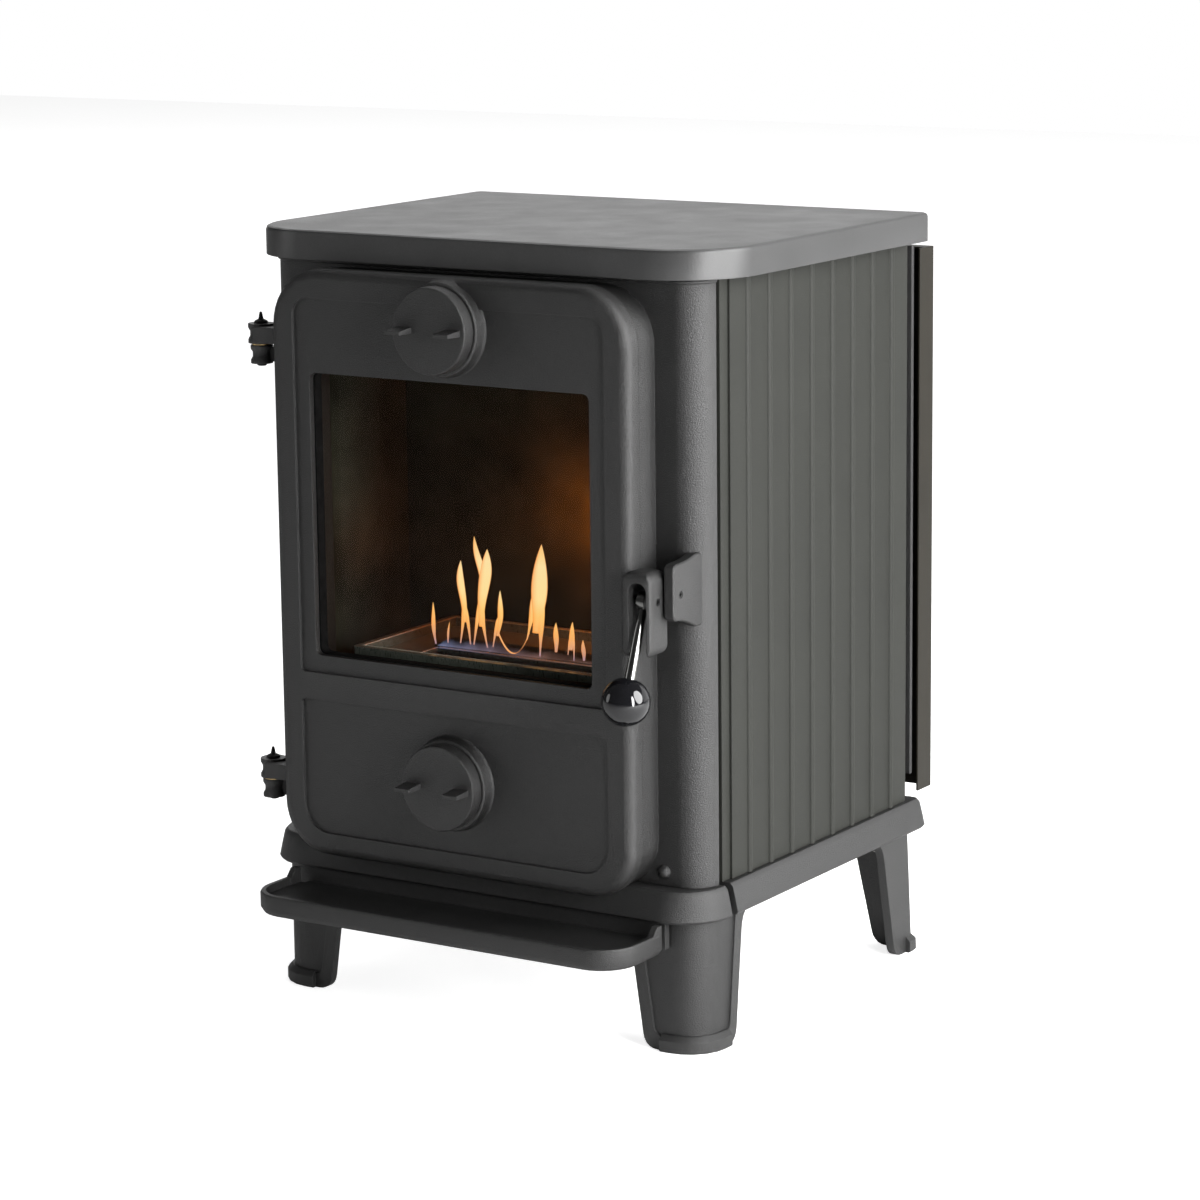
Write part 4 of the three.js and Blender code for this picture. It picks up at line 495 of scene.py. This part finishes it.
# name, root, tip, half width, where it is widest, half width at the root, bow and sway
LICKS = (
    ("flame_01", (-79.7, 0), (-81.7, 33), 1.9, 0.45, 0.7, -1.0, -0.3),
    ("flame_02", (-68.3, 2), (-66.4, 19), 1.0, 0.4, 0.5, -0.6, 0.0),
    ("flame_03_body", (-52.4, 20), (-55.0, 68), 3.4, 0.62, 2.0, -0.8, 1.0),
    ("flame_03_left", (-56.6, 3), (-52.6, 36), 1.8, 0.75, 0.6, 0.6, 0.0),
    ("flame_03_right", (-47.3, 3), (-53.2, 38), 1.8, 0.7, 0.6, 0.8, 0.0),
    ("flame_04_body", (-36.8, 18), (-30.4, 79), 5.4, 0.66, 2.2, -0.6, -0.8),
    ("flame_04_crest", (-34.6, 48), (-42.2, 88), 3.3, 0.42, 2.6, 0.6, 1.0),
    ("flame_04_left", (-44.1, 3), (-36.2, 42), 2.2, 0.8, 0.6, -0.4, 0.0),
    ("flame_04_right", (-31.5, 2), (-36.4, 42), 2.4, 0.75, 0.6, -1.4, 0.0),
    ("flame_05_body", (-22.2, 12), (-19.1, 48), 2.5, 0.5, 1.2, 1.6, 0.4),
    ("flame_05_left", (-26.4, 3), (-20.6, 28), 1.6, 0.8, 0.5, -0.3, 0.0),
    ("flame_07_body", (13.2, 18), (19.4, 87), 7.2, 0.5, 3.2, 0.6, 0.3),
    ("flame_07_left", (5.0, 12), (13.6, 50), 3.4, 0.8, 0.6, 0.4, 0.0),
    ("flame_07_right", (16.6, 0), (17.2, 54), 3.6, 0.7, 0.6, 1.0, 0.0),
    ("flame_08", (31.2, 5), (31.6, 28), 2.4, 0.5, 1.2, 0.0, 0.3),
    ("flame_09_body", (44.4, 8), (46.5, 30), 2.6, 0.35, 1.8, 0.3, 0.2),
    ("flame_09_left", (42.0, 4), (45.0, 20), 1.0, 0.7, 0.4, -0.4, 0.0),
    ("flame_09_right", (47.3, 0), (47.0, 20), 1.0, 0.7, 0.4, 0.3, 0.0),
    ("flame_10", (56.3, 1), (55.7, 17), 1.9, 0.45, 1.0, 0.0, 0.2),
)
for lick in LICKS:
    strand(*lick)

ARC_LENGTHS = 28
ARC_SIDES = 8
ARC_CLIMB = 0.16  # it burns in the colour that the flames have at this height


def hanging_arc(name, start, end, sag, half):
    """The thread of flame that hangs between two licks."""
    vertices, climbs = [], []
    for step in range(ARC_LENGTHS + 1):
        t = step / ARC_LENGTHS
        x = start[0] + (end[0] - start[0]) * t
        z = start[1] + (end[1] - start[1]) * t - sag * (1 - (2 * t - 1) ** 2)
        for side in range(ARC_SIDES):
            angle = math.tau * side / ARC_SIDES
            vertices.append((
                (x + half * math.cos(angle)) * MM,
                (FLAME_Y + half * math.sin(angle)) * MM,
                (FLAME_ROOT + z + half * math.cos(angle)) * MM,
            ))
            climbs.append(ARC_CLIMB)
    return mesh_piece(name, vertices, tube_faces(ARC_LENGTHS, ARC_SIDES), FLAME, "stove", climbs)


hanging_arc("flame_06_arc", (-21.0, 14), (7.0, 17), sag=15.5, half=0.55)

VEIL_COLUMNS = 60
VEIL_ROWS = 6
BROAD_RIPPLE = 0.25
FINE_RIPPLE = 0.15
VEIL_FALL = 0.55  # how much lower its right end is, as a share of its height
VEIL_RISES_WITHIN = 1 / 8  # the share of its length in which its left end comes up
VEIL_START = 0.02  # how much of that rise it has at the very left
VEIL_WAVER = 0.8


def veil(name, left, right, tall, y, lean):
    """The low blue sheet of burning vapour over the slot, higher at its left."""
    vertices, faces, climbs = [], [], []
    for column in range(VEIL_COLUMNS + 1):
        t = column / VEIL_COLUMNS
        wave = 1 + BROAD_RIPPLE * math.sin(17 * t + lean) + FINE_RIPPLE * math.sin(41 * t)
        start = math.sin(math.pi * min(1.0, t / VEIL_RISES_WITHIN + VEIL_START) / 2)
        height = tall * wave * (1 - VEIL_FALL * t) * start
        for row in range(VEIL_ROWS + 1):
            rise = row / VEIL_ROWS
            vertices.append((
                (left + (right - left) * t) * MM,
                (y + lean * rise + VEIL_WAVER * math.sin(9 * t + 2 * rise)) * MM,
                (VEIL_FOOT + height * rise) * MM,
            ))
            climbs.append(rise)
    for column in range(VEIL_COLUMNS):
        for row in range(VEIL_ROWS):
            a = column * (VEIL_ROWS + 1) + row
            b = a + VEIL_ROWS + 1
            faces.append((a, b, b + 1, a + 1))
    return mesh_piece(name, vertices, faces, VEIL, "stove", climbs)


veil("veil_back", SLOT_LEFT + 4, SLOT_RIGHT - 4, tall=8, y=FLAME_Y + 5, lean=2.0)
veil("veil_front", SLOT_LEFT + 6, SLOT_RIGHT - 3, tall=4, y=FLAME_Y - 3, lean=-1.5)

TRIM_SIDES = 8


def edge_trim(name, low, high, height, half):
    """A pale strip of round section that runs round a rectangle: a painted highlight on a polished edge."""
    corners = ((low[0], low[1]), (high[0], low[1]), (high[0], high[1]), (low[0], high[1]))
    vertices, faces = [], []
    for x, y in corners:
        out_x = 1 if x == high[0] else -1
        out_y = 1 if y == high[1] else -1
        for side in range(TRIM_SIDES):
            angle = math.tau * side / TRIM_SIDES
            outward = half * math.cos(angle)
            vertices.append((
                (x + out_x * outward) * MM,
                (y + out_y * outward) * MM,
                (height + half * math.sin(angle)) * MM,
            ))
    for corner in range(len(corners)):
        here = corner * TRIM_SIDES
        there = (corner + 1) % len(corners) * TRIM_SIDES
        for side in range(TRIM_SIDES):
            after = (side + 1) % TRIM_SIDES
            faces.append((here + side, there + side, there + after, here + after))
    return mesh_piece(name, vertices, faces, HIGHLIGHT_STRIP, "stove", smooth=False)


RIM_TRIM = 0.45
SLOT_TRIM = 0.5
# pale strips on the tray's rim and on the slot's edge: painted highlights, not parts of the tray
edge_trim("tray_rim_trim", (tray_low.x / MM + TRAY_RIM_WIDTH, tray_low.y / MM + TRAY_RIM_WIDTH),
          (tray_high.x / MM - TRAY_RIM_WIDTH, tray_high.y / MM - TRAY_RIM_WIDTH), TRAY_TOP, RIM_TRIM)
# sunk by half its thickness, so that the slider passes over it
edge_trim("tray_slot_trim", (SLOT_LEFT, SLOT_FRONT), (SLOT_RIGHT, SLOT_BACK), PLATE_TOP - SLOT_TRIM,
          SLOT_TRIM)


# ------------------------------------------------------------------ studio

FLOOR_REACH = 8.0
FLOOR_DROP = 0.2 * MM
FLOOR_LIFT = 0.8  # what makes the floor look white to the camera
FLOOR_IN_GLOSS = 0.08  # how much of that lift shiny surfaces see
WALL_HALF_WIDTH = 7
WALL_DISTANCE = 4.6
WALL_HEIGHT = 3.4
WALL_GLOW = 1.4
WORLD_LIGHT = 0.09


def backdrop(name, corners, material):
    """One flat sheet of the studio."""
    mesh = bpy.data.meshes.new(name)
    mesh.from_pydata(corners, [], [(0, 1, 2, 3)])
    sheet = bpy.data.objects.new(name, mesh)
    sheet.data.materials.append(material)
    scene.collection.objects.link(sheet)
    return sheet


def studio_floor():
    """A pale floor that looks white and still takes the stove's shadow."""
    material, tree = new_material("pale_floor")
    tone = blend_colours(tree, noise(tree, object_place(tree), 3.0), grey(0.8), grey(0.84))
    plain = add(tree, "BsdfDiffuse", Color=tone)
    lift = add(tree, "Emission", Color=WHITE, Strength=FLOOR_LIFT)
    bright = add(tree, "AddShader")
    tree.links.new(plain.outputs[0], bright.inputs[0])
    tree.links.new(lift.outputs[0], bright.inputs[1])
    seen = add(tree, "LightPath")
    mirrored = arithmetic(tree, "MULTIPLY", seen.outputs["Is Glossy Ray"], FLOOR_IN_GLOSS)
    rays = arithmetic(tree, "MAXIMUM", seen.outputs["Is Camera Ray"], mirrored)
    rays = arithmetic(tree, "MAXIMUM", rays, seen.outputs["Is Transmission Ray"])
    finish(material, mix_shaders(tree, rays, plain, bright))
    r = FLOOR_REACH
    floor = backdrop("floor", [(-r, -r, 0), (r, -r, 0), (r, r, 0), (-r, r, 0)], material)
    floor.location.z = -FLOOR_DROP


def studio_wall():
    """The white wall behind the stove, which the top plate mirrors."""
    material, tree = new_material("white_wall")
    tone = blend_colours(tree, noise(tree, object_place(tree), 2.0), grey(0.78), grey(0.84))
    finish(material, add(tree, "Emission", Color=tone, Strength=WALL_GLOW))
    x, y, z = WALL_HALF_WIDTH, WALL_DISTANCE, WALL_HEIGHT
    wall = backdrop("wall", [(-x, y, 0), (x, y, 0), (x, y, z), (-x, y, z)], material)
    wall.visible_camera = False


def studio_world():
    """White behind the stove, and dim in the light that falls on it."""
    world = bpy.data.worlds.new("studio")
    scene.world = world
    world.use_nodes = True
    tree = world.node_tree
    tree.nodes.clear()
    seen = add(tree, "LightPath")
    rays = arithmetic(tree, "MAXIMUM", seen.outputs["Is Camera Ray"], seen.outputs["Is Transmission Ray"])
    strength = spread(tree, rays, UNIT, (WORLD_LIGHT, 1.0))
    background = add(tree, "Background", Color=WHITE, Strength=strength)
    add(tree, "OutputWorld", Surface=background.outputs[0])


LAMP_TARGET = Vector((0, 0, 0.32))

# name, place, width, height and watts
PANELS = (
    ("key", (1.9, 0.2, 1.05), 1.5, 1.9, 86),
    ("fill", (-2.1, -1.3, 0.8), 0.9, 1.3, 5),
    ("edge", (1.75, -0.85, 0.62), 0.35, 1.5, 42),
    ("top", (-0.6, 1.2, 2.4), 2.0, 1.6, 16),
)


def panel_light(name, place, width, height, power):
    """A soft oval lamp that looks at the stove."""
    light = bpy.data.lights.new(name, "AREA")
    light.shape = "ELLIPSE"
    light.size = width
    light.size_y = height
    light.energy = power
    lamp = bpy.data.objects.new(name, light)
    lamp.location = place
    lamp.rotation_mode = "QUATERNION"
    lamp.rotation_quaternion = (LAMP_TARGET - Vector(place)).to_track_quat("-Z", "Y")
    scene.collection.objects.link(lamp)


GLOW_COLOUR = (1, 0.2, 0.02)
GLOW_SIZE = 0.02

# name, place and watts of the fire's glow on the firebox's lining
GLOWS = (
    ("glow_left", (-0.142, -0.065, 0.335), 0.04),
    ("glow_right", (0.012, -0.026, 0.366), 0.42),
)


def glow_light(name, place, power):
    """A small warm lamp inside the firebox."""
    light = bpy.data.lights.new(name, "POINT")
    light.energy = power
    light.color = GLOW_COLOUR
    light.shadow_soft_size = GLOW_SIZE
    lamp = bpy.data.objects.new(name, light)
    lamp.location = place
    lamp.visible_glossy = False
    scene.collection.objects.link(lamp)


CAMERA_PLACE = (1.60248, -2.48397, 0.88657)
CAMERA_AZIMUTH = math.radians(32.558)
CAMERA_ELEVATION = math.radians(11.227)
CAMERA_ROLL = math.radians(-0.659)
CAMERA_LENS = 115.912
CAMERA_SENSOR = 36
CAMERA_CLIP = (0.05, 60)


def camera():
    """The camera that took the photograph, which looks down on the stove's right front corner."""
    forward = Vector((
        -math.sin(CAMERA_AZIMUTH) * math.cos(CAMERA_ELEVATION),
        math.cos(CAMERA_AZIMUTH) * math.cos(CAMERA_ELEVATION),
        -math.sin(CAMERA_ELEVATION),
    ))
    right = Vector((math.cos(CAMERA_AZIMUTH), math.sin(CAMERA_AZIMUTH), 0))
    up = right.cross(forward)
    across = right * math.cos(CAMERA_ROLL) + up * math.sin(CAMERA_ROLL)
    upward = up * math.cos(CAMERA_ROLL) - right * math.sin(CAMERA_ROLL)
    data = bpy.data.cameras.new("camera")
    data.sensor_width = CAMERA_SENSOR
    data.lens = CAMERA_LENS
    data.clip_start, data.clip_end = CAMERA_CLIP
    seer = bpy.data.objects.new("camera", data)
    turn = Matrix((across, upward, -forward)).transposed().to_4x4()
    seer.matrix_world = Matrix.Translation(CAMERA_PLACE) @ turn
    scene.collection.objects.link(seer)
    scene.camera = seer


studio_floor()
studio_wall()
studio_world()
camera()
for panel in PANELS:
    panel_light(*panel)
for glow in GLOWS:
    glow_light(*glow)

scene.view_settings.view_transform = "Standard"
